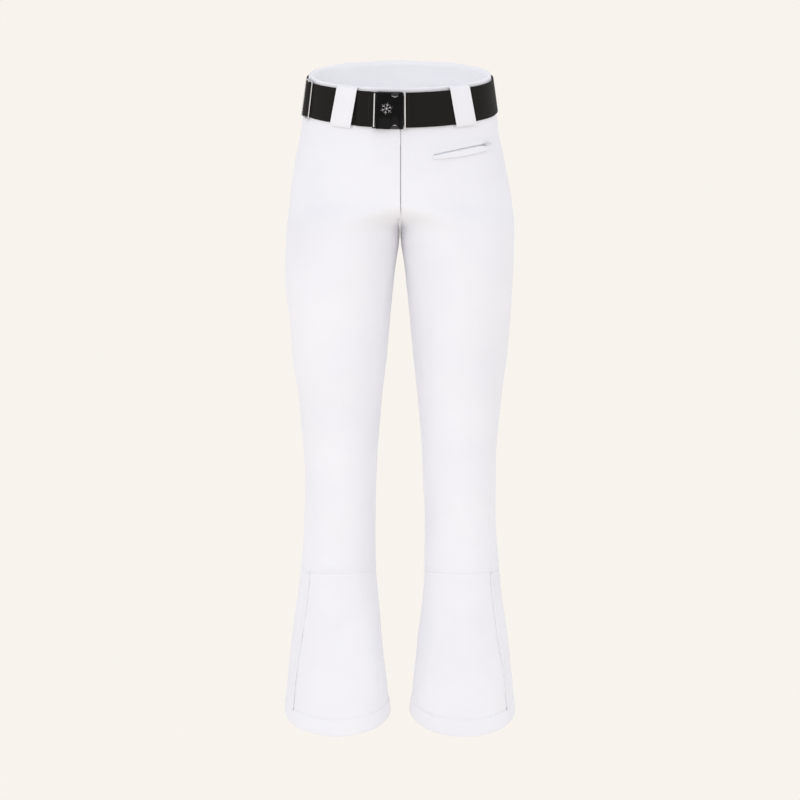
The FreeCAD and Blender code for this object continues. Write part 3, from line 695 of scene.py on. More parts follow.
def line_inside(obj):
    """Give the inner face of a panel the backing's own look; its faces come second in the mesh."""
    obj.data.materials.append(LINING)
    half = len(obj.data.vertices) // 2
    for polygon in obj.data.polygons:
        if min(polygon.vertices) >= half:
            polygon.material_index = 1


def sheet(name, grid, thickness, outward, soft, material, relief=None, flat=None):
    """Piece of cloth about a grid of middle points; flat, the grid before its folds, is not used."""
    obj = thick(name, grid, thickness, outward, soft, relief)
    show(obj, material)


def cloth_line(z, u, face, side, extra=0.0):
    """A path on the cloth at its own lift and one mm above it."""
    z, u = np.broadcast_arrays(np.asarray(z, float), u)
    angle = panel_angle(z, u, face)
    lift = surface_lift(cloth_point(z, angle, 0.0, side), side) + extra
    return cloth_point(z, angle, lift, side), cloth_point(z, angle, lift + 1.0, side)


def locate(x, z, side):
    """Height and share of the front panel's point seen at x, z."""
    x, z = np.broadcast_arrays(np.asarray(x, float), np.asarray(z, float))
    height, share = z.copy(), np.full(z.shape, 0.3)
    for _ in range(14):
        here = cloth_point(height, panel_angle(height, share, -1), 0.0, side)
        step = cloth_point(height, panel_angle(height, share + 0.01, -1), 0.0, side)
        share = np.clip(share + (x - here[..., 0]) * 0.01 / (step[..., 0] - here[..., 0]), 0.0, 0.95)
        height = height + z - here[..., 2]
    return height, share


def stitches(low, high, length=2.3, gap=0.9, radius=0.2):
    """Row of sewing stitches along a path given at the cloth's face and one mm above it."""
    run = np.r_[0, np.cumsum(np.linalg.norm(np.diff(low, axis=0), axis=1))]
    starts = np.arange(0.4, run[-1] - length, length + gap)
    t = np.array([0.0, 0.2, 0.5, 0.8, 1.0])
    size = np.array([0.25, 0.85, 1.0, 0.85, 0.25])
    rise = np.array([-0.2, 0.04, 0.12, 0.04, -0.2])
    places = starts[:, None] + t * length

    def at(line):
        return np.stack([np.interp(places, run, line[:, k]) for k in range(3)], axis=-1)

    base = at(low)
    up = at(high) - base
    up /= np.linalg.norm(up, axis=-1, keepdims=True)
    ahead = np.gradient(base, axis=1)
    ahead /= np.linalg.norm(ahead, axis=-1, keepdims=True)
    side = np.cross(ahead, up)
    turn = np.linspace(0, 2 * np.pi, 6, endpoint=False)
    ring = np.cos(turn)[:, None] * up[:, :, None, :] + np.sin(turn)[:, None] * side[:, :, None, :]
    points = (base + up * rise[:, None])[:, :, None, :] + ring * (radius * size)[:, None, None]
    faces = []
    for k in range(len(starts)):
        first = k * 30
        faces += quads(5, 6, first, True)
        faces += [tuple(range(first, first + 6)), tuple(range(first + 24, first + 30))]
    return finish_mesh(mesh_object("stitches", points, faces), 80.0)


def flat_solid(name, outline, low, high, bevel, place, step=2.0):
    """Plate drawn flat as (a, b) points, thickened from low to high, edges rounded, bent into place."""
    bm = bmesh.new()
    floor = bm.faces.new([bm.verts.new((a, b, low)) for a, b in outline])
    grown = bmesh.ops.extrude_face_region(bm, geom=[floor])["geom"]
    for item in grown:
        if isinstance(item, bmesh.types.BMVert):
            item.co.z = high
    bmesh.ops.recalc_face_normals(bm, faces=bm.faces)
    rims = [e for e in bm.edges if abs(e.verts[0].co.z - e.verts[1].co.z) < 1e-6]
    bmesh.ops.bevel(bm, geom=rims, offset=bevel, segments=3, profile=0.5, affect="EDGES", clamp_overlap=True)
    places = [v.co.x for v in bm.verts]
    for cut in np.arange(min(places) + step, max(places) - step / 4, step):
        bmesh.ops.bisect_plane(bm, geom=bm.verts[:] + bm.edges[:] + bm.faces[:], plane_co=(cut, 0, 0),
                               plane_no=(1, 0, 0))
    drawn = np.array([v.co[:] for v in bm.verts])
    for vertex, point in zip(bm.verts, place(drawn)):
        vertex.co = Vector(point) * MM
    mesh = bpy.data.meshes.new(name)
    bm.to_mesh(mesh)
    bm.free()
    obj = bpy.data.objects.new(name, mesh)
    bpy.context.scene.collection.objects.link(obj)
    return finish_mesh(obj, 35.0)


def arc(a, b, radius, first, last, count):
    """Points of a round arc about (a, b), its angles in degrees."""
    t = np.radians(np.linspace(first, last, count))
    return list(zip(a + radius * np.cos(t), b + radius * np.sin(t)))


def rounded_outline(a0, a1, b0, b1, radius, steps=5):
    """Rectangle with rounded corners as (a, b) points."""
    points = []
    for a, b, start in ((a1 - radius, b1 - radius, 0), (a0 + radius, b1 - radius, 90),
                        (a0 + radius, b0 + radius, 180), (a1 - radius, b0 + radius, 270)):
        points += arc(a, b, radius, start, start + 90, steps)
    return points


def block(name, place, a0, a1, b0, b1, low, high, radius, bevel, steps=5, step=2.0):
    """Flat solid with a rounded rectangle for its outline."""
    return flat_solid(name, rounded_outline(a0, a1, b0, b1, radius, steps), low, high, bevel, place, step)


# ---------------------------------------------------------------- panels and flares
TOP_Z = STATIONS[0][0] - 0.3


def pocket_circle():
    """Circle that the pocket's opening follows: centre, axis, two spokes, radius, angle span."""
    def skin(z, u):
        return cloth_point(z, panel_angle(z, u, -1), 0.0, 1)
    (z0, u0), (z1, u1) = POCKET_FROM, POCKET_TO
    a, b = skin(z0, u0), skin(z1, u1)
    z, u = (z0 + z1) / 2.0, (u0 + u1) / 2.0
    middle = skin(z, u)
    normal = np.cross(skin(z, u + 0.01) - skin(z, u - 0.01), skin(z + 1, u) - skin(z - 1, u))
    normal /= np.linalg.norm(normal)
    chord = (b - a) / np.linalg.norm(b - a)
    axis = np.cross(chord, normal)
    axis /= np.linalg.norm(axis)
    axis = axis if axis[2] > 0 else -axis
    middle = middle - axis * (middle - a).dot(axis)
    ab, ac = middle - a, b - a
    way = np.cross(ab, ac)
    centre = a + (np.cross(way, ab) * ac.dot(ac) + np.cross(ac, way) * ab.dot(ab)) / (2.0 * way.dot(way))
    radius = np.linalg.norm(a - centre)
    spoke = (a - centre) / radius
    other = np.cross(axis, spoke)
    reach = b - centre
    return centre, axis, spoke, other, radius, math.atan2(reach.dot(other), reach.dot(spoke))


POCKET = pocket_circle()
POCKET_LENGTH = POCKET[4] * POCKET[5]


def pocket_place(p):
    """Points (along the opening, up, off the cloth's face) of the pocket in the pants' frame."""
    centre, axis, spoke, other, radius, span = POCKET
    p = np.asarray(p, float)
    turn = p[..., 0:1] / radius
    outward = spoke * np.cos(turn) + other * np.sin(turn)
    return centre + outward * (radius + p[..., 2:3]) + axis * p[..., 1:2]


def panel_grids():
    columns = spaced(PANEL_WIDTH, 0.55, 2.9) / PANEL_WIDTH
    rows = TOP_Z - spaced(TOP_Z - CALF_SEAM_Z - 0.05, 0.8, 3.3)
    return ij(rows, columns)


def pocket_grids():
    """Grid of the front left panel with two rows that run along the pocket's lips."""
    s = np.linspace(0.0, POCKET_LENGTH, 40)
    line = pocket_place(np.stack([s, 0 * s, 0 * s], -1))
    heights, shares = locate(line[:, 0], line[:, 2], 1)
    middle = heights.mean()
    columns = np.unique(np.r_[spaced(PANEL_WIDTH, 0.55, 2.9) / PANEL_WIDTH, shares[0], shares[-1]])
    upper = TOP_Z - spaced(TOP_Z - middle, 0.7, 3.3)
    lower = middle - spaced(middle - CALF_SEAM_Z - 0.05, 0.7, 3.3)
    row = len(upper) - 1
    z, u = ij(np.r_[upper, lower], columns)
    wanted = np.interp(columns, shares, heights)
    inside = ease((columns - shares[0] + 0.09) / 0.09) * ease((shares[-1] + 0.09 - columns) / 0.09)
    half = np.where((columns > shares[0] + 1e-6) & (columns < shares[-1] - 1e-6), 0.8, 0.1)
    pull = bell(z - middle, 22.0) * inside * (wanted - middle)
    z = z + pull
    apart = bell(z - z[row], 6.0) * half
    z[:row + 1] += apart[:row + 1]
    z[row + 1:] -= apart[row + 1:]
    first, last = np.searchsorted(columns, shares[0] - 1e-9), np.searchsorted(columns, shares[-1] - 1e-9)
    return z, u, (row, first, last)


def pocket_relief(base):
    """Rolled lips of the slit and the slight bulge of the zip behind it."""
    centre, axis, spoke, other, radius, span = POCKET
    v = base - centre
    up = v @ axis
    s = radius * np.arctan2(v @ other, v @ spoke)
    inside = ease((s + 4.0) / 6.0) * ease((POCKET_LENGTH + 4.0 - s) / 6.0)
    rolled = (0.7 * bell(up, 9.0) - 0.9 * bell(up, 1.2) - 0.3 * bell(up - 9.0, 1.0)
              + 0.2 * noise(s / 6.0, up / 8.0, 9) * bell(up, 12.0))
    return np.where(base[..., 1] < 0, inside * rolled, 0.0)


flare_rows = CALF_SEAM_Z - 0.05 - spaced(CALF_SEAM_Z - HEM_Z - 0.05, 0.5, 3.0)
flare_grids = ij(flare_rows, spaced(PANEL_WIDTH, 0.55, 2.7) / PANEL_WIDTH)
for side, hand in SIDES:
    for face, word in ((-1, "front"), (1, "back")):
        hole, relief = None, None
        z, u = panel_grids()
        if side > 0 and face < 0:
            z, u, hole = pocket_grids()
            relief = pocket_relief
        panel_piece("v_%s_panel_%s" % (word, hand), face, side, z, u, False, hole, relief)
        panel_piece("v_flare_%s_%s" % (word, hand), face, side, *flare_grids, hem=True)

# ---------------------------------------------------------------- seams, hems and their stitches
rows_of_thread = []
for side, hand in SIDES:
    heights = np.linspace(CALF_SEAM_Z - 1.5, HEM_Z + 1.0, 90)
    places = np.linspace(-1.0, 1.0, 13)
    z, t = ij(heights, places)
    half = STRIP_WIDTH / 2.0 / along(STATIONS, z, 3)
    angle = side_seam_angle(z) + t * half
    base = cloth_point(z, angle, 0.0, side)
    ridge = 0.25 * noise(z / 6.0, t * 0 + side, 11) + 0.25 * bell(np.abs(t) - 0.3, 0.2)
    lift = surface_lift(base, side) + 0.42 + ridge
    sheet("v_seam_strip_" + hand, cloth_point(z, angle, lift, side), 0.9, from_middle(base), 1.6, WHITE,
          flat=base)
    for t in (-0.62, 0.62):
        angle = side_seam_angle(heights) + t * STRIP_WIDTH / 2.0 / along(STATIONS, heights, 3)
        lift = surface_lift(cloth_point(heights, angle, 0.0, side), side) + 0.95
        rows_of_thread.append(stitches(cloth_point(heights, angle, lift, side),
                                       cloth_point(heights, angle, lift + 1.0, side)))
    shares = np.linspace(0.01, 0.99, 120)
    facings = []
    for face in (-1, 1):
        rows_of_thread.append(stitches(*cloth_line(HEM_Z + HEM_BAND, shares, face, side, -0.15)))
        rows_of_thread.append(stitches(*cloth_line(CALF_SEAM_Z + 5.2, shares, face, side, -0.1)))
        path = smooth_path([(HEM_Z + HEM_BAND, -3.0), (HEM_Z + 10.0, -3.0), (HEM_Z + 1.2, -2.7),
                            (HEM_Z + 0.25, -1.6)], 14)
        z, u = ij(path[:, 0], np.linspace(0.0, 1.0, 80))
        lift = path[:, 1][:, None] + 0.15 * noise(u * 30.0, z / 9.0, 12)
        grid = cloth_point(z, panel_angle(z, u, face), lift, side)
        facings.append(thick("facing", grid, 0.9, from_middle(grid), 0.5))
    show(join("v_hem_facing_" + hand, facings), LINING)

# the fly's curved topstitch, its bar tack and the row beside the pocket
z = np.linspace(-62.0, FLY_CURVE, 60)
bend = np.radians(np.linspace(0, 84, 30))
xs = np.r_[np.full(60, -FLY_FLAP), -FLY_FLAP * np.cos(bend)]
zs = np.r_[z, FLY_CURVE - (FLY_CURVE - FLY_END) * np.sin(bend)]
rows_of_thread.append(stitches(*cloth_line(*locate(xs, zs, -1), -1, -1, 0.02)))
zig = np.arange(9)
tack = locate(np.where(zig % 2, -5.2, -0.4), FLY_END + 0.5 - zig * 0.55, -1)
rows_of_thread.append(stitches(*cloth_line(*tack, -1, -1, 0.35), length=4.2, gap=0.2, radius=0.32))
s = np.linspace(-1.0, POCKET_LENGTH + 1.0, 60)
line = pocket_place(np.stack([s, 0 * s + 9.0, 0 * s], -1))
rows_of_thread.append(stitches(*cloth_line(*locate(line[:, 0], line[:, 2], 1), -1, 1, 0.1)))
show(join("v_seam_stitches", rows_of_thread), THREAD)

# ---------------------------------------------------------------- snow gaiters
GAITER_TOP = CALF_SEAM_Z - 12.0
GAITER_BOTTOM = HEM_Z + 45.0


def gaiter_point(z, turn, inset, side):
    outer, inner, front, back, middle = [along(STATIONS, z, k) for k in range(1, 6)]
    half = (outer - inner) / 2.0 - inset
    depth = (front + back) / 2.0 - inset
    return np.stack([side * (outer + inner) / 2.0 + half * np.cos(turn),
                     middle + (back - front) / 2.0 + depth * np.sin(turn), z], axis=-1)


def gaiter_inset(z):
    return 6.0 + 12.0 * (GAITER_TOP - z) / (GAITER_TOP - GAITER_BOTTOM)


def gathers(z, turn, side):
    """Pleats that deepen towards the elastic."""
    fade = ease((GAITER_TOP - z) / (GAITER_TOP - GAITER_BOTTOM))
    wander = 2.0 * noise(turn * 3.0, z / 70.0, 20 + side)
    return (0.35 + 1.5 * fade) * np.sin(34.0 * turn + wander) * (0.75 + 0.25 * noise(turn * 6.0, z / 40.0, 23))


for side, hand in SIDES:
    z, turn = ij(np.linspace(GAITER_TOP, GAITER_BOTTOM, 56), np.linspace(0, 2 * np.pi, 361))
    grid = gaiter_point(z, turn, gaiter_inset(z) + 0.4 + gathers(z, turn, side), side)
    sheet("v_snow_gaiter_" + hand, grid, 0.7, from_middle(grid), 0.4, LINING)
    z, turn = ij(np.linspace(GAITER_BOTTOM + 22.0, GAITER_BOTTOM + 2.0, 22), np.linspace(0, 2 * np.pi, 361))
    inset = gaiter_inset(z) + 1.9 + gathers(z, turn, side) + 0.3 * np.sin((z - GAITER_BOTTOM) * 2 * np.pi / 4.0)
    grid = gaiter_point(z, turn, inset, side)
    sheet("v_gaiter_elastic_" + hand, grid, 1.2, from_middle(grid), 0.6, ELASTIC)

# ---------------------------------------------------------------- waistband
def waist_run(theta):
    """Distance in mm round the waist, for folds that keep their size."""
    return np.asarray(theta) * 2.0


def waistband(name, first, last, width):
    count = max(20, int(width / 2.2))
    theta = np.linspace(first, last, count)
    down = np.linspace(-1.6, -BAND_DROP, 28)
    brim = [(-0.2, -0.75), (-0.6, -0.2), (-1.0, -0.05), (-1.4, -0.2), (-1.8, -0.75)]
    profile = np.array([(0.0, d) for d in down[::-1]] + brim + [(-CLOTH, d) for d in down])
    t, k = ij(theta, np.arange(len(profile)))
    lift, drop = profile[k, 0], profile[k, 1]
    wave = 0.3 * noise(waist_run(t) / 34.0, drop / 26.0, 31) + 0.1 * noise(waist_run(t) / 9.0, drop / 12.0, 32)
    lift = lift + wave - (lift > -1.0) * (0.35 * bell(drop + BAND_DROP, 1.6) + 0.25 * bell(drop + 5.5, 0.8))
    drop = drop + 0.25 * noise(waist_run(t) / 22.0, 0 * t, 33) * bell(drop, 6.0)
    obj = loft(name, waist_point(t, drop, lift), sharp=60.0)
    grid = waist_point(*ij(theta, down), 0.0)
    return obj


SIDE_SPAN = 2.0 * math.radians(SIDE_ARC)
GIRTH = 2.0 * (SIDE_SPAN * WAIST_SIDE_R + (math.pi - SIDE_SPAN) * WAIST_LONG_R)
for name, first, last, share in (("v_waistband_front_left", -89.8, -0.06, 0.25),
                                 ("v_waistband_front_right", -179.94, -89.95, 0.25),
                                 ("v_waistband_back", 0.06, 179.94, 0.5)):
    show(waistband(name, first, last, GIRTH * share), WHITE)

path = smooth_path([(-1.9, -1.3), (-3.2, -0.7), (-5.0, -1.1), (-6.3, -2.8), (-6.7, -6.0), (-6.7, -16.0),
                    (-6.7, -30.0), (-6.7, -42.0), (-6.5, -49.0)], 34)
theta, k = ij(np.linspace(-88.0, 268.0, 330), np.arange(34))
lift, drop = path[k, 0], path[k, 1]
inside = ease((-drop - 1.0) / 5.0)
run = waist_run(theta)
ripple = 0.8 * noise(run / 70.0, drop / 17.0, 35) + 0.25 * noise(run / 16.0, drop / 7.0, 36)
lift = lift + inside * ripple - 0.3 * bell(drop + 7.0, 0.8)
grid = waist_point(theta, drop, lift)
# the facing's lighter colour is painted light against the shade inside the waistband
sheet("v_waistband_lining", grid, 1.0, -from_middle(grid), 0.5, FACING_PAINTED_LIGHT)

# ---------------------------------------------------------------- belt loops
def loop_path(foot):
    """(lift, drop) of a loop from the waist seam over the belt down to its foot."""
    return smooth_path([(0.5, -1.3), (2.2, -1.0), (4.8, -1.7), (6.2, -4.3), (6.25, -9.0), (6.2, -22.0),
                        (6.25, -40.0), (6.2, -54.0), (5.9, -57.8), (4.6 + foot * 0.2, -60.2),
                        (foot + 0.8, -61.3)], 46)


def waist_stitches(theta, drop, lift, lean=0.0, **how):
    """Row of stitches on the waistband or belt, its top leaning up by lean mm for each mm out."""
    return stitches(waist_point(theta, drop, lift), waist_point(theta, drop + lean, lift + 1.0), **how)


loop_threads = []
for name, middle, lean, foot in (
        ("belt_loop_front_left", front_angle(LOOP_LEFT_X), -LOOP_LEAN, FRONT_LOOP_FOOT),
        ("belt_loop_front_right", front_angle(LOOP_RIGHT_X), LOOP_LEAN, FRONT_LOOP_FOOT),
        ("belt_loop_back_left", 62.0, 0.0, BACK_LOOP_FOOT),
        ("belt_loop_back_middle", 90.0, 0.0, BACK_LOOP_FOOT),
        ("belt_loop_back_right", 118.0, 0.0, BACK_LOOP_FOOT)):
    path = loop_path(foot)
    half = math.degrees(LOOP_WIDTH / 2.0 / (WAIST_LONG_R + 8.0))
    across = spaced(LOOP_WIDTH, 0.35, 1.5) / LOOP_WIDTH * 2.0 - 1.0
    k, t = ij(np.arange(len(path)), across)
    lift, drop = path[k, 0], path[k, 1]
    theta = middle + t * half + lean * (drop - BELT_MIDDLE)
    from_edge = (1.0 - np.abs(t)) * LOOP_WIDTH / 2.0
    bow = (0.18 * noise(t * 2.2 + middle, drop / 18.0, 41) - 0.3 * bell(from_edge - 5.0, 0.7)
           + 0.12 * bell(from_edge - 2.4, 2.0) - 0.35 * bell(drop - LOOP_TACK, 0.8))
    grid = waist_point(theta, drop, lift + bow)
    outward = from_middle(grid) + waist_point(middle, -30.0, 50.0) - waist_point(middle, -30.0, 0.0)
    sheet("v_" + name, grid, LOOP_CLOTH, outward, 0.65, WHITE,
          flat=waist_point(theta, drop, lift))
    for t in (-1.0, 1.0):
        angle = middle + t * half * (1.0 - 10.0 / LOOP_WIDTH) + lean * (path[:, 1] - BELT_MIDDLE)
        loop_threads.append(waist_stitches(angle, path[:, 1], path[:, 0] + 0.45))
    angle = np.linspace(middle - 0.85 * half, middle + 0.85 * half, 20) + lean * (LOOP_TACK - BELT_MIDDLE)
    loop_threads.append(waist_stitches(angle, LOOP_TACK, 6.15, 0.6))
show(join("v_loop_stitches", loop_threads), THREAD)

# ---------------------------------------------------------------- belt
def webbing(name, path, top, bottom, wave=0.18):
    """Strip of webbing along a path of (normal angle, lift) points."""
    rows = spaced(top - bottom, 0.35, 2.2)
    k, d = np.meshgrid(np.arange(len(path)), top - rows, indexing="xy")
    theta, lift = path[k, 0], path[k, 1]
    lift = lift + wave * noise(waist_run(theta) / 30.0, d / 24.0, 51)
    grid = waist_point(theta, d, lift)
    return thick(name, grid, STRAP, grid - waist_point(theta, d, lift - 30.0), 0.5)


def front_path(points, count):
    """Path of a strip on the front arc from (x, lift) points."""
    line = smooth_path(points, count)
    return np.stack([front_angle(line[:, 0]), line[:, 1]], axis=1)


theta = np.linspace(front_angle(LOOP_LEFT_X - 14.0), front_angle(BUCKLE_FROM - 3.5) + 360.0, 300)
upper, lower = HIGH_LAYER + STRAP / 2.0, LOW_LAYER + STRAP / 2.0
show(webbing("v_belt_strap", np.stack([theta, np.full(300, lower)], 1), BELT_TOP, BELT_BOTTOM), WEBBING)
fold = webbing("v_belt_fold_right", front_path([
    (LOOP_RIGHT_X + 19.0, upper), (-58.0, upper), (-50.0, upper), (-44.0, upper), (-40.4, upper + 0.05),
    (-37.7, upper - 0.15), (-36.9, 3.2), (-37.7, lower + 0.15), (-38.4, lower)], 46),
    BELT_TOP, BELT_BOTTOM, 0.05)
show(fold, WEBBING)
front_strap = webbing("v_belt_strap_front", front_path([
    (BUCKLE_TO + 1.4, upper), (20.0, upper), (40.0, upper), (60.0, upper), (LOOP_LEFT_X - 10.0, upper)], 60),
    BELT_TOP, BELT_BOTTOM, 0.08)
show(front_strap, WEBBING, "plug")
over = HIGH_LAYER + 1.5 * STRAP + 0.1
fold = webbing("v_belt_fold_left", front_path([
    (BUCKLE_TO + FOLD_GAP + 7.2, over), (14.0, over), (11.5, over + 0.05), (10.0, over + 0.3),
    (9.1, over + 0.9)], 20), BELT_TOP - 0.3, BELT_BOTTOM + 0.3, 0.0)
show(fold, WEBBING, "plug")
for hand, body, places, height in (("left", "plug", (13.2,), over), ("right", "pants", (-61.0, -46.5), upper)):
    drops = np.linspace(BELT_TOP - 2.0, BELT_BOTTOM + 2.0, 30)
    sewn = [waist_stitches(front_angle(x), drops, height + STRAP / 2, length=2.0, gap=0.7, radius=0.22)
            for x in places]
    show(join("v_fold_stitches_" + hand, sewn), BLACK_THREAD, body)


# ---------------------------------------------------------------- buckle
def at_level(points, level):
    """Flat (a, b) points with one third coordinate."""
    return np.column_stack([points, np.full(len(points), level)])


def belt_place(p):
    """Points (x, drop, lift) on the front of the belt in the pants' frame."""
    return waist_point(front_angle(p[..., 0]), p[..., 1], p[..., 2])


TOP = BELT_TOP + 1.0
BOTTOM = BELT_BOTTOM - 1.0
NOTCH_X = -7.6
NOTCH = 6.2


CORNER = 1.4
left_x = BUCKLE_FROM + CORNER
outline = (arc(left_x, BOTTOM + CORNER, CORNER, 180, 270, 4) + arc(NOTCH_X, BOTTOM, NOTCH, 180, 0, 17)
           + [(BUCKLE_TO, BOTTOM), (BUCKLE_TO, TOP)] + arc(NOTCH_X, TOP, NOTCH, 0, -180, 17)
           + arc(left_x, TOP - CORNER, CORNER, 90, 180, 4))
parts = [flat_solid("plate", outline, BUCKLE_HIGH - 2.0, BUCKLE_HIGH, 0.75, belt_place)]
for b0, b1 in ((TOP - 3.9, TOP - 0.3), (BOTTOM + 0.3, BOTTOM + 3.9)):
    for a0, a1 in ((BUCKLE_FROM + 0.3, NOTCH_X - NOTCH), (NOTCH_X + NOTCH, BUCKLE_TO - 0.2)):
        parts.append(block("wall", belt_place, a0, a1, b0, b1, BUCKLE_LOW, BUCKLE_HIGH - 1.9, 0.4, 0.2, 2))
parts.append(block("wall", belt_place, BUCKLE_FROM, BUCKLE_FROM + 2.2, BOTTOM + 1.0, TOP - 1.0, BUCKLE_LOW,
                   BUCKLE_HIGH - 1.9, 0.4, 0.2, 2))
show(join("v_buckle_housing", parts), GLOSS)
show(block("v_buckle_back_plate", belt_place, BUCKLE_FROM, BUCKLE_TO, BOTTOM - 1.0, TOP, HIGH_LAYER,
           HIGH_LAYER + 1.2, 2.0, 0.3), BLACK)

drops = np.r_[BELT_TOP + 0.9, np.linspace(BELT_TOP + 0.5, BELT_BOTTOM - 0.5, 24), BELT_BOTTOM - 0.9]
size = np.full(len(drops), BAR_RADIUS)
size[[0, -1]] = 0.5
size[[1, -2]] = 1.2
bar_x = BUCKLE_FROM - BAR_RIGHT_GAP
for hand, x, body in (("right", bar_x, "pants"), ("left", BUCKLE_TO + BAR_LEFT_GAP, "plug")):
    bar = tube("v_buckle_bar_" + hand, waist_point(front_angle(x), drops, BAR_LIFT), size, 20)
    show(bar, NICKEL, body)
ears = [block("ear", belt_place, bar_x - 2.0, BUCKLE_FROM - 0.05, d - 2.0, d, BAR_LIFT - 2.3, BAR_LIFT + 2.3,
              0.8, 0.5, step=1.0) for d in (TOP - 0.3, BOTTOM + 2.3)]
show(join("v_buckle_ears", ears), BLACK)

plug_low, plug_high = HIGH_LAYER + 1.9, HIGH_LAYER + 4.3
head_x = BUCKLE_TO + BAR_LEFT_GAP - 1.6
plug = [block("tongue", belt_place, BUCKLE_FROM + 6.0, head_x - 1.0, -39.0, -23.0, plug_low, plug_high,
              1.6, 0.5),
        block("head", belt_place, BUCKLE_TO - 1.6, head_x, BOTTOM + 5.0, TOP - 5.0, plug_low, plug_high,
              1.0, 0.5, step=1.0)]
for x in (-26.0, -17.0, -8.0):
    plug.append(block("rib", belt_place, x, x + 6.0, -31.8, -30.2, plug_high - 0.2, plug_high + 0.35, 0.5, 0.2,
                      3, 1.5))
show(join("v_buckle_plug", plug), BLACK, "plug")
for word, sign, rim, root in (("top", 1, TOP - 4.25, -20.5), ("bottom", -1, BOTTOM + 4.25, -41.5)):
    outline = [(BUCKLE_FROM + 8.5, root), (BUCKLE_FROM + 9.5, rim - sign * 4.0),
               (BUCKLE_FROM + 12.0, rim - sign * 1.2), (NOTCH_X - 7.0, rim), (NOTCH_X + 6.0, rim),
               (BUCKLE_TO - 2.6, rim - sign * 2.6), (BUCKLE_TO - 2.6, rim - sign * 7.0),
               (NOTCH_X, rim - sign * 8.5), (BUCKLE_FROM + 14.0, root)]
    prong = flat_solid("v_buckle_prong_" + word, outline[::-sign], plug_low, plug_high, 0.45, belt_place)
    show(prong, BLACK, "prong_" + word)

trim = []
for edge, first, last, count in ((TOP, -38, -142, 26), (BOTTOM, 62, 118, 16)):
    line = arc(NOTCH_X, edge, NOTCH + 0.1, first, last, count)
    size = 0.38 * np.sin(np.linspace(0.25, math.pi - 0.25, count))
    trim.append(tube("arc", belt_place(at_level(line, BUCKLE_HIGH - 0.25)), np.maximum(size, 0.1), 8))
spot = np.array([-19.5, -27.5])
for turn in np.radians((18.0, 78.0, 138.0)):
    for sign in (-1.0, 1.0):
        way = np.array([math.cos(turn), math.sin(turn)]) * sign
        side = np.array([-way[1], way[0]])
        fork = spot + way * 4.8
        for a, b in ((spot, spot + way * 9.0), (fork, spot + way * 6.6 - side * 2.6),
                     (fork, spot + way * 6.6 + side * 2.6)):
            line = at_level(a + (b - a) * np.linspace(0, 1, 6)[:, None], BUCKLE_HIGH + 0.02)
            trim.append(tube("ray", belt_place(line), np.linspace(0.27, 0.16, 6), 8))
show(join("v_buckle_trim", trim), NICKEL)

# ---------------------------------------------------------------- adjuster on the right side
FRONT_END, BACK_END = -180.0 + 34.0, -180.0 + 13.0
middle = (FRONT_END + BACK_END) / 2.0
wire = 1.15
radius = WAIST_SIDE_R + 6.0
half = math.radians(FRONT_END - BACK_END) / 2.0 * radius - wire
ring = np.array(rounded_outline(-half, half, BELT_BOTTOM - 1.9, BELT_TOP + 2.0, 3.4, 8))
even = smooth_path(np.vstack([ring, ring[:1]]), 150)[:-1]


def side_place(p):
    return waist_point(middle + np.degrees(p[..., 0] / radius), p[..., 1], p[..., 2])


loopwire = tube("ring", side_place(at_level(even, HIGH_LAYER + 1.2)), wire, 12, True)
drops = np.linspace(BELT_TOP + 1.6, BELT_BOTTOM - 1.5, 30)
bar = at_level(np.column_stack([0 * drops, drops]), HIGH_LAYER + 1.2)
cross = tube("bar", side_place(bar), wire * 0.95, 12)
show(join("v_adjuster_frame", [loopwire, cross]), CHROME, "adjuster")
hump = smooth_path([(-half + 1.6, HIGH_LAYER + 0.5), (-half * 0.6, HIGH_LAYER + 1.9), (0.0, HIGH_LAYER + 3.1),
                    (half * 0.6, HIGH_LAYER + 1.9), (half - 1.6, HIGH_LAYER + 0.5)], 30)
hump = np.stack([middle + np.degrees(hump[:, 0] / radius), hump[:, 1]], axis=1)
slide = webbing("v_adjuster_webbing", hump, BELT_TOP - 0.6, BELT_BOTTOM + 0.6, 0.0)
show(slide, WEBBING, "adjuster")

# ---------------------------------------------------------------- fly zip
top, bottom = [cloth_point(z, panel_angle(z, 0.0, -1), 0.0, 1) * (0, 1, 1)
               for z in (STATIONS[0][0] - FLY_TOP, STATIONS[0][0] - FLY_TOP - FLY_LENGTH)]
fly_down = (bottom - top) / np.linalg.norm(bottom - top)
fly_out = np.cross((1.0, 0.0, 0.0), fly_down)
fly_out = -fly_out if fly_out[1] > 0 else fly_out
fly_start = top - fly_out * FLY_DEPTH


def fly_place(p):
    """Points (down, to the wearer's left, outwards) of the fly zip in the pants' frame."""
    p = np.asarray(p, float)
    return fly_start + p[..., 0:1] * fly_down + p[..., 1:2] * np.array((1.0, 0.0, 0.0)) + p[..., 2:3] * fly_out


def zip_tape(name, place, first, last, inner, outer, depth, outward, cord_from, cord_to, cord_at):
    """Zip tape from inner to outer beside the teeth, with a cord along its inner edge."""
    s, b = ij(np.linspace(first, last, int((last - first) / 1.6)), np.linspace(inner, outer, 16))
    grid = place(np.stack([s, b, depth + 0.12 * noise(s / 11.0, b / 6.0, 61)], -1))
    s = np.linspace(cord_from, cord_to, 60)
    cord = place(np.stack([s, 0 * s + cord_at, 0 * s + depth], -1))
    return [thick(name, grid, 0.6, outward, 0.3), tube("cord", cord, 0.55, 8)]


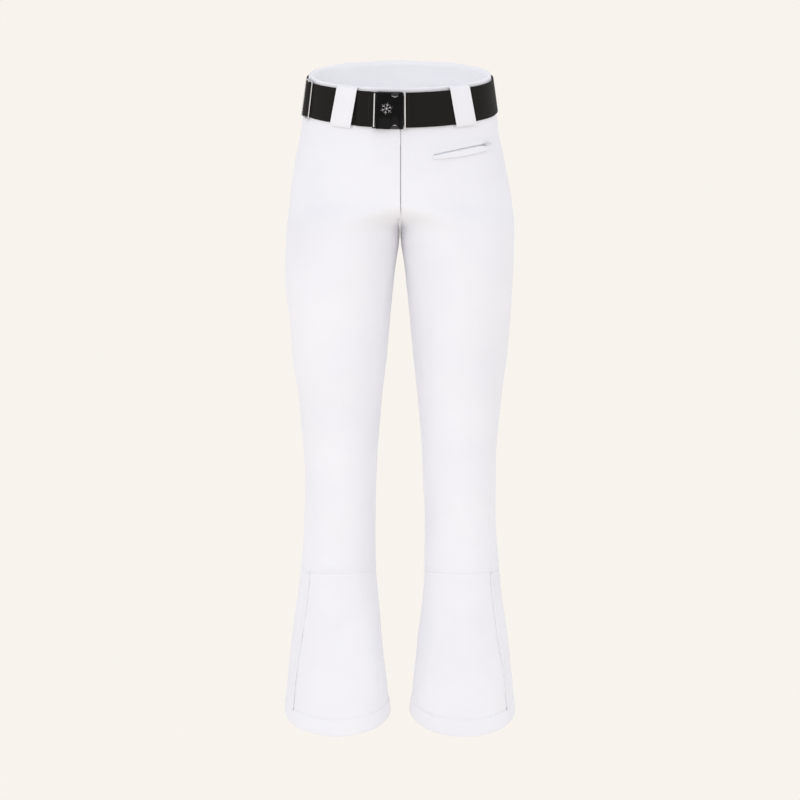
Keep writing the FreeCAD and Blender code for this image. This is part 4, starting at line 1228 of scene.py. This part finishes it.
for sign, hand in SIDES:
    name = "v_fly_zip_tape_" + hand
    show(join(name, zip_tape(name, fly_place, 0.0, FLY_LENGTH, sign * 2.6, sign * 14.0, 0.0, fly_out,
                             1.0, FLY_LENGTH - 1.0, sign * 2.7)), TAPE)
s, b = ij(np.linspace(0.0, FLY_LENGTH + 6.0, 60), np.linspace(-22.0, 16.0, 26))
grid = fly_place(np.stack([s, b, -3.5 + 0.35 * noise(s / 24.0, b / 15.0, 63)], -1))
sheet("v_fly_shield", grid, 1.0, fly_out, 0.5, WHITE,
      lambda u, v: -0.2 * bell(np.minimum(u, u[:, -1:] - u) - 3.0, 0.6))

# ---------------------------------------------------------------- pocket
s, t = ij(spaced(POCKET_LENGTH + 4.0, 0.35, 2.2) - 2.0, np.linspace(0, 1, 14))
low_edge = -(6.2 + 3.6 * np.sin(np.pi * np.clip((s + 2.0) / (POCKET_LENGTH + 4.0), 0, 1)) ** 0.8 + 0.018 * s)
up = -1.3 + t * (low_edge + 1.3)
grid = pocket_place(np.stack([s, up, 1.1 + 0.15 * noise(s / 9.0, up / 5.0, 65)], -1))
welt = thick("v_pocket_welt", grid, 1.1, POCKET[2], 0.6, lambda u, v: -0.22 * bell(u[:, -1:] - u - 2.0, 0.5))
show(welt, WHITE)
tapes = []
for sign in (1.0, -1.0):
    tapes += zip_tape("tape", pocket_place, -4.0, POCKET_LENGTH + 4.0, sign * 2.4, sign * 10.6, -POCKET_DEPTH,
                      POCKET[2], -3.0, POCKET_LENGTH + 3.0, sign * 2.4 * 1.12)
show(join("v_pocket_zip_tapes", tapes), TAPE)
z, u = ij(np.linspace(-118.0, -215.0, 44), np.linspace(0.22, 0.66, 44))
angle = panel_angle(z, u, -1)
base = cloth_point(z, angle, 0.0, 1)
down, across = run_lengths(base, 0), run_lengths(base, 1)
edge = np.minimum.reduce([down, down[-1:, :] - down, across, across[:, -1:] - across])
sag = 0.5 * noise(base[..., 0] / 26.0, base[..., 2] / 30.0, 67) * ease(edge / 12.0)
grid = cloth_point(z, angle, -CLOTH - 7.2 + sag, 1)
sheet("v_pocket_bag", grid, 2.4, base - base.mean(axis=(0, 1)) * (1, 0, 1), 5.0, LINING,
      lambda u, v: -0.15 * bell(edge - 6.0, 0.6))

# ---------------------------------------------------------------- sliders and pulls
def slider_body(name, place, lug_top, body):
    """Zip slider: two shaped plates, the bridge between them and a lug with its pin."""
    wing = [(-4.5, -1.9), (-3.2, -3.3), (0.5, -3.5), (4.4, -3.4), (4.5, 3.4), (0.5, 3.5), (-3.2, 3.3),
            (-4.5, 1.9)]
    parts = [flat_solid("plate", wing, low, low + 1.0, 0.3, place, 1.0) for low in (1.0, -2.0)]
    parts.append(block("post", place, 2.2, 4.2, -0.5, 0.5, -1.1, 1.1, 0.3, 0.1, 3, 1.0))
    for b in (-3.2, 3.2):
        parts.append(block("flange", place, -3.4, 4.3, b - 0.3, b + 0.3, 0.5, 1.1, 0.2, 0.1, 3, 1.0))
    parts.append(block("lug", place, -1.3, 1.3, -0.6, 0.6, 1.9, lug_top, 0.5, 0.25, 4, 1.0))
    pin = np.stack([np.zeros(8), np.linspace(-1.7, 1.7, 8), np.full(8, lug_top - 0.9)], -1)
    parts.append(tube("pin", place(pin), 0.5, 10))
    show(join(name, parts), NICKEL, body)


def pull_tab(name, place, lug_top, length, width, way, body):
    """Pull tab with two eyes round the slider's pin and a raised rim."""
    height, half = lug_top - 0.9, width / 2.0
    upper_half = [(length, half - 1.4), (length - 0.4, half - 0.5), (length - 1.4, half), (4.2, half),
                  (1.9, 1.7)]
    outline = [(a, -b) for a, b in upper_half[::-1]] + upper_half

    def there(p):
        return place(p * (way, 1.0, 1.0))

    parts = [flat_solid("tab", outline, height - 0.5, height + 0.3, 0.25, there, 1.2)]
    inner, end = half - 0.9, length - 1.6
    rim = [(5.2, -inner), (end, -inner), (length - 1.0, 0.0), (end, inner), (5.2, inner), (5.2, -inner)]
    rim = smooth_path(rim, 50)[:-1]
    parts.append(tube("rim", there(at_level(rim, height + 0.32)), 0.25, 8, True))
    for b in (-1.2, 1.2):
        turn = np.linspace(0, 2 * np.pi, 24, endpoint=False)
        eye = np.stack([0.85 * np.cos(turn), np.full(24, b), height + 0.85 * np.sin(turn)], -1)
        parts.append(tube("eye", there(eye), 0.3, 8, True))
        arm = np.stack([np.linspace(0.8, 2.4, 6), np.full(6, b), np.full(6, height - 0.1)], -1)
        parts.append(tube("arm", there(arm), 0.38, 8))
    show(join(name, parts), NICKEL, body)


def fly_part(p):
    return fly_place((9.0, 0.0, 0.0) + p * (-1.0, -1.0, 1.0))


def pocket_part(p):
    return pocket_place(p + (POCKET_LENGTH - 5.5, 0.0, -POCKET_DEPTH))


slider_body("v_fly_zip_slider", fly_part, 4.1, "fly_slider")
pull_tab("v_fly_zip_pull", fly_part, 4.1, 17.0, 5.0, -1, "fly_pull")
slider_body("v_pocket_zip_slider", pocket_part, POCKET_DEPTH + 3.9, "pocket_slider")
pull_tab("v_pocket_zip_pull", pocket_part, POCKET_DEPTH + 3.9, 12.0, 4.0, 1, "pocket_pull")

# ---------------------------------------------------------------- CAD nodes that stay, with their looks
for material, nodes in ((TEETH, ("fly_zip_teeth_left", "fly_zip_teeth_right", "pocket_zip_teeth")),
                        (NICKEL, ("fly_top_stops", "fly_bottom_stop", "pocket_zip_stops", "waist_hook",
                                  "waist_bar"))):
    for node in nodes:
        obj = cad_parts[node]
        obj.data.materials.clear()
        obj.data.materials.append(material)

# ---------------------------------------------------------------- light, backdrop and camera
scene = bpy.context.scene
scene.view_settings.view_transform = "Standard"
BACKDROP = (0.939, 0.896, 0.847)
FLOOR_Z = -1.27
world = bpy.data.worlds.new("studio")
scene.world = world
world.use_nodes = True
tree = world.node_tree
mix = tree.nodes.new("ShaderNodeMixShader")
seen, ambient = tree.nodes["Background"], tree.nodes.new("ShaderNodeBackground")
for index, node, colour, strength in ((2, seen, BACKDROP, 1.0), (1, ambient, (0.955, 0.96, 1.0), 0.97)):
    node.inputs["Color"].default_value = (*colour, 1.0)
    node.inputs["Strength"].default_value = strength
    tree.links.new(node.outputs[0], mix.inputs[index])
tree.links.new(tree.nodes.new("ShaderNodeLightPath").outputs["Is Camera Ray"], mix.inputs[0])
tree.links.new(mix.outputs[0], tree.nodes["World Output"].inputs["Surface"])

paper = Nodes("studio_paper")
paper.tint(paper.noise(3.0), (0.050, 0.048, 0.045), (0.055, 0.052, 0.049))
paper.done([], 0.0, Roughness=0.9, Specular_IOR_Level=0.0, Emission_Color=(*BACKDROP, 1.0),
           Emission_Strength=0.95)
bpy.ops.mesh.primitive_plane_add(size=60.0, location=(0.0, 0.0, FLOOR_Z))
floor = bpy.context.object
floor.name = "studio_floor"
floor.data.materials.append(paper.material)


def softbox(name, place, target, size, power, colour):
    light = bpy.data.lights.new(name, "AREA")
    light.shape = "RECTANGLE"
    light.size, light.size_y = size
    light.energy = power
    light.color = colour
    obj = bpy.data.objects.new(name, light)
    obj.location = place
    obj.rotation_euler = (Vector(target) - Vector(place)).to_track_quat("-Z", "Y").to_euler()
    obj.visible_camera = False
    scene.collection.objects.link(obj)


softbox("key", (-1.9, -2.6, 0.9), (0.0, 0.0, -0.5), (1.4, 2.0), 10.0, (0.97, 0.98, 1.0))
softbox("fill", (2.4, -2.4, 0.2), (0.0, 0.0, -0.55), (1.4, 2.2), 2.0, (1.0, 0.98, 0.96))
softbox("low", (0.0, -2.2, -1.1), (0.0, 0.0, -0.35), (1.6, 0.8), 4.5, (1.0, 1.0, 1.0))
softbox("inside", (0.0, -0.02, -0.20), (0.0, 0.06, 0.1), (0.12, 0.08), 0.15, (1.0, 1.0, 1.0))

VIEW_ANGLE = 19.45
AIM = (0.0, 0.0, -0.50372)
lens = bpy.data.cameras.new("camera")
lens.sensor_width = 36.0
lens.lens = lens.sensor_width / 2.0 / math.tan(math.radians(VIEW_ANGLE) / 2.0)
camera = bpy.data.objects.new("camera", lens)
camera.location = (0.0, -3.6, 0.05)
camera.rotation_euler = (Vector(AIM) - camera.location).to_track_quat("-Z", "Y").to_euler()
scene.collection.objects.link(camera)
scene.camera = camera
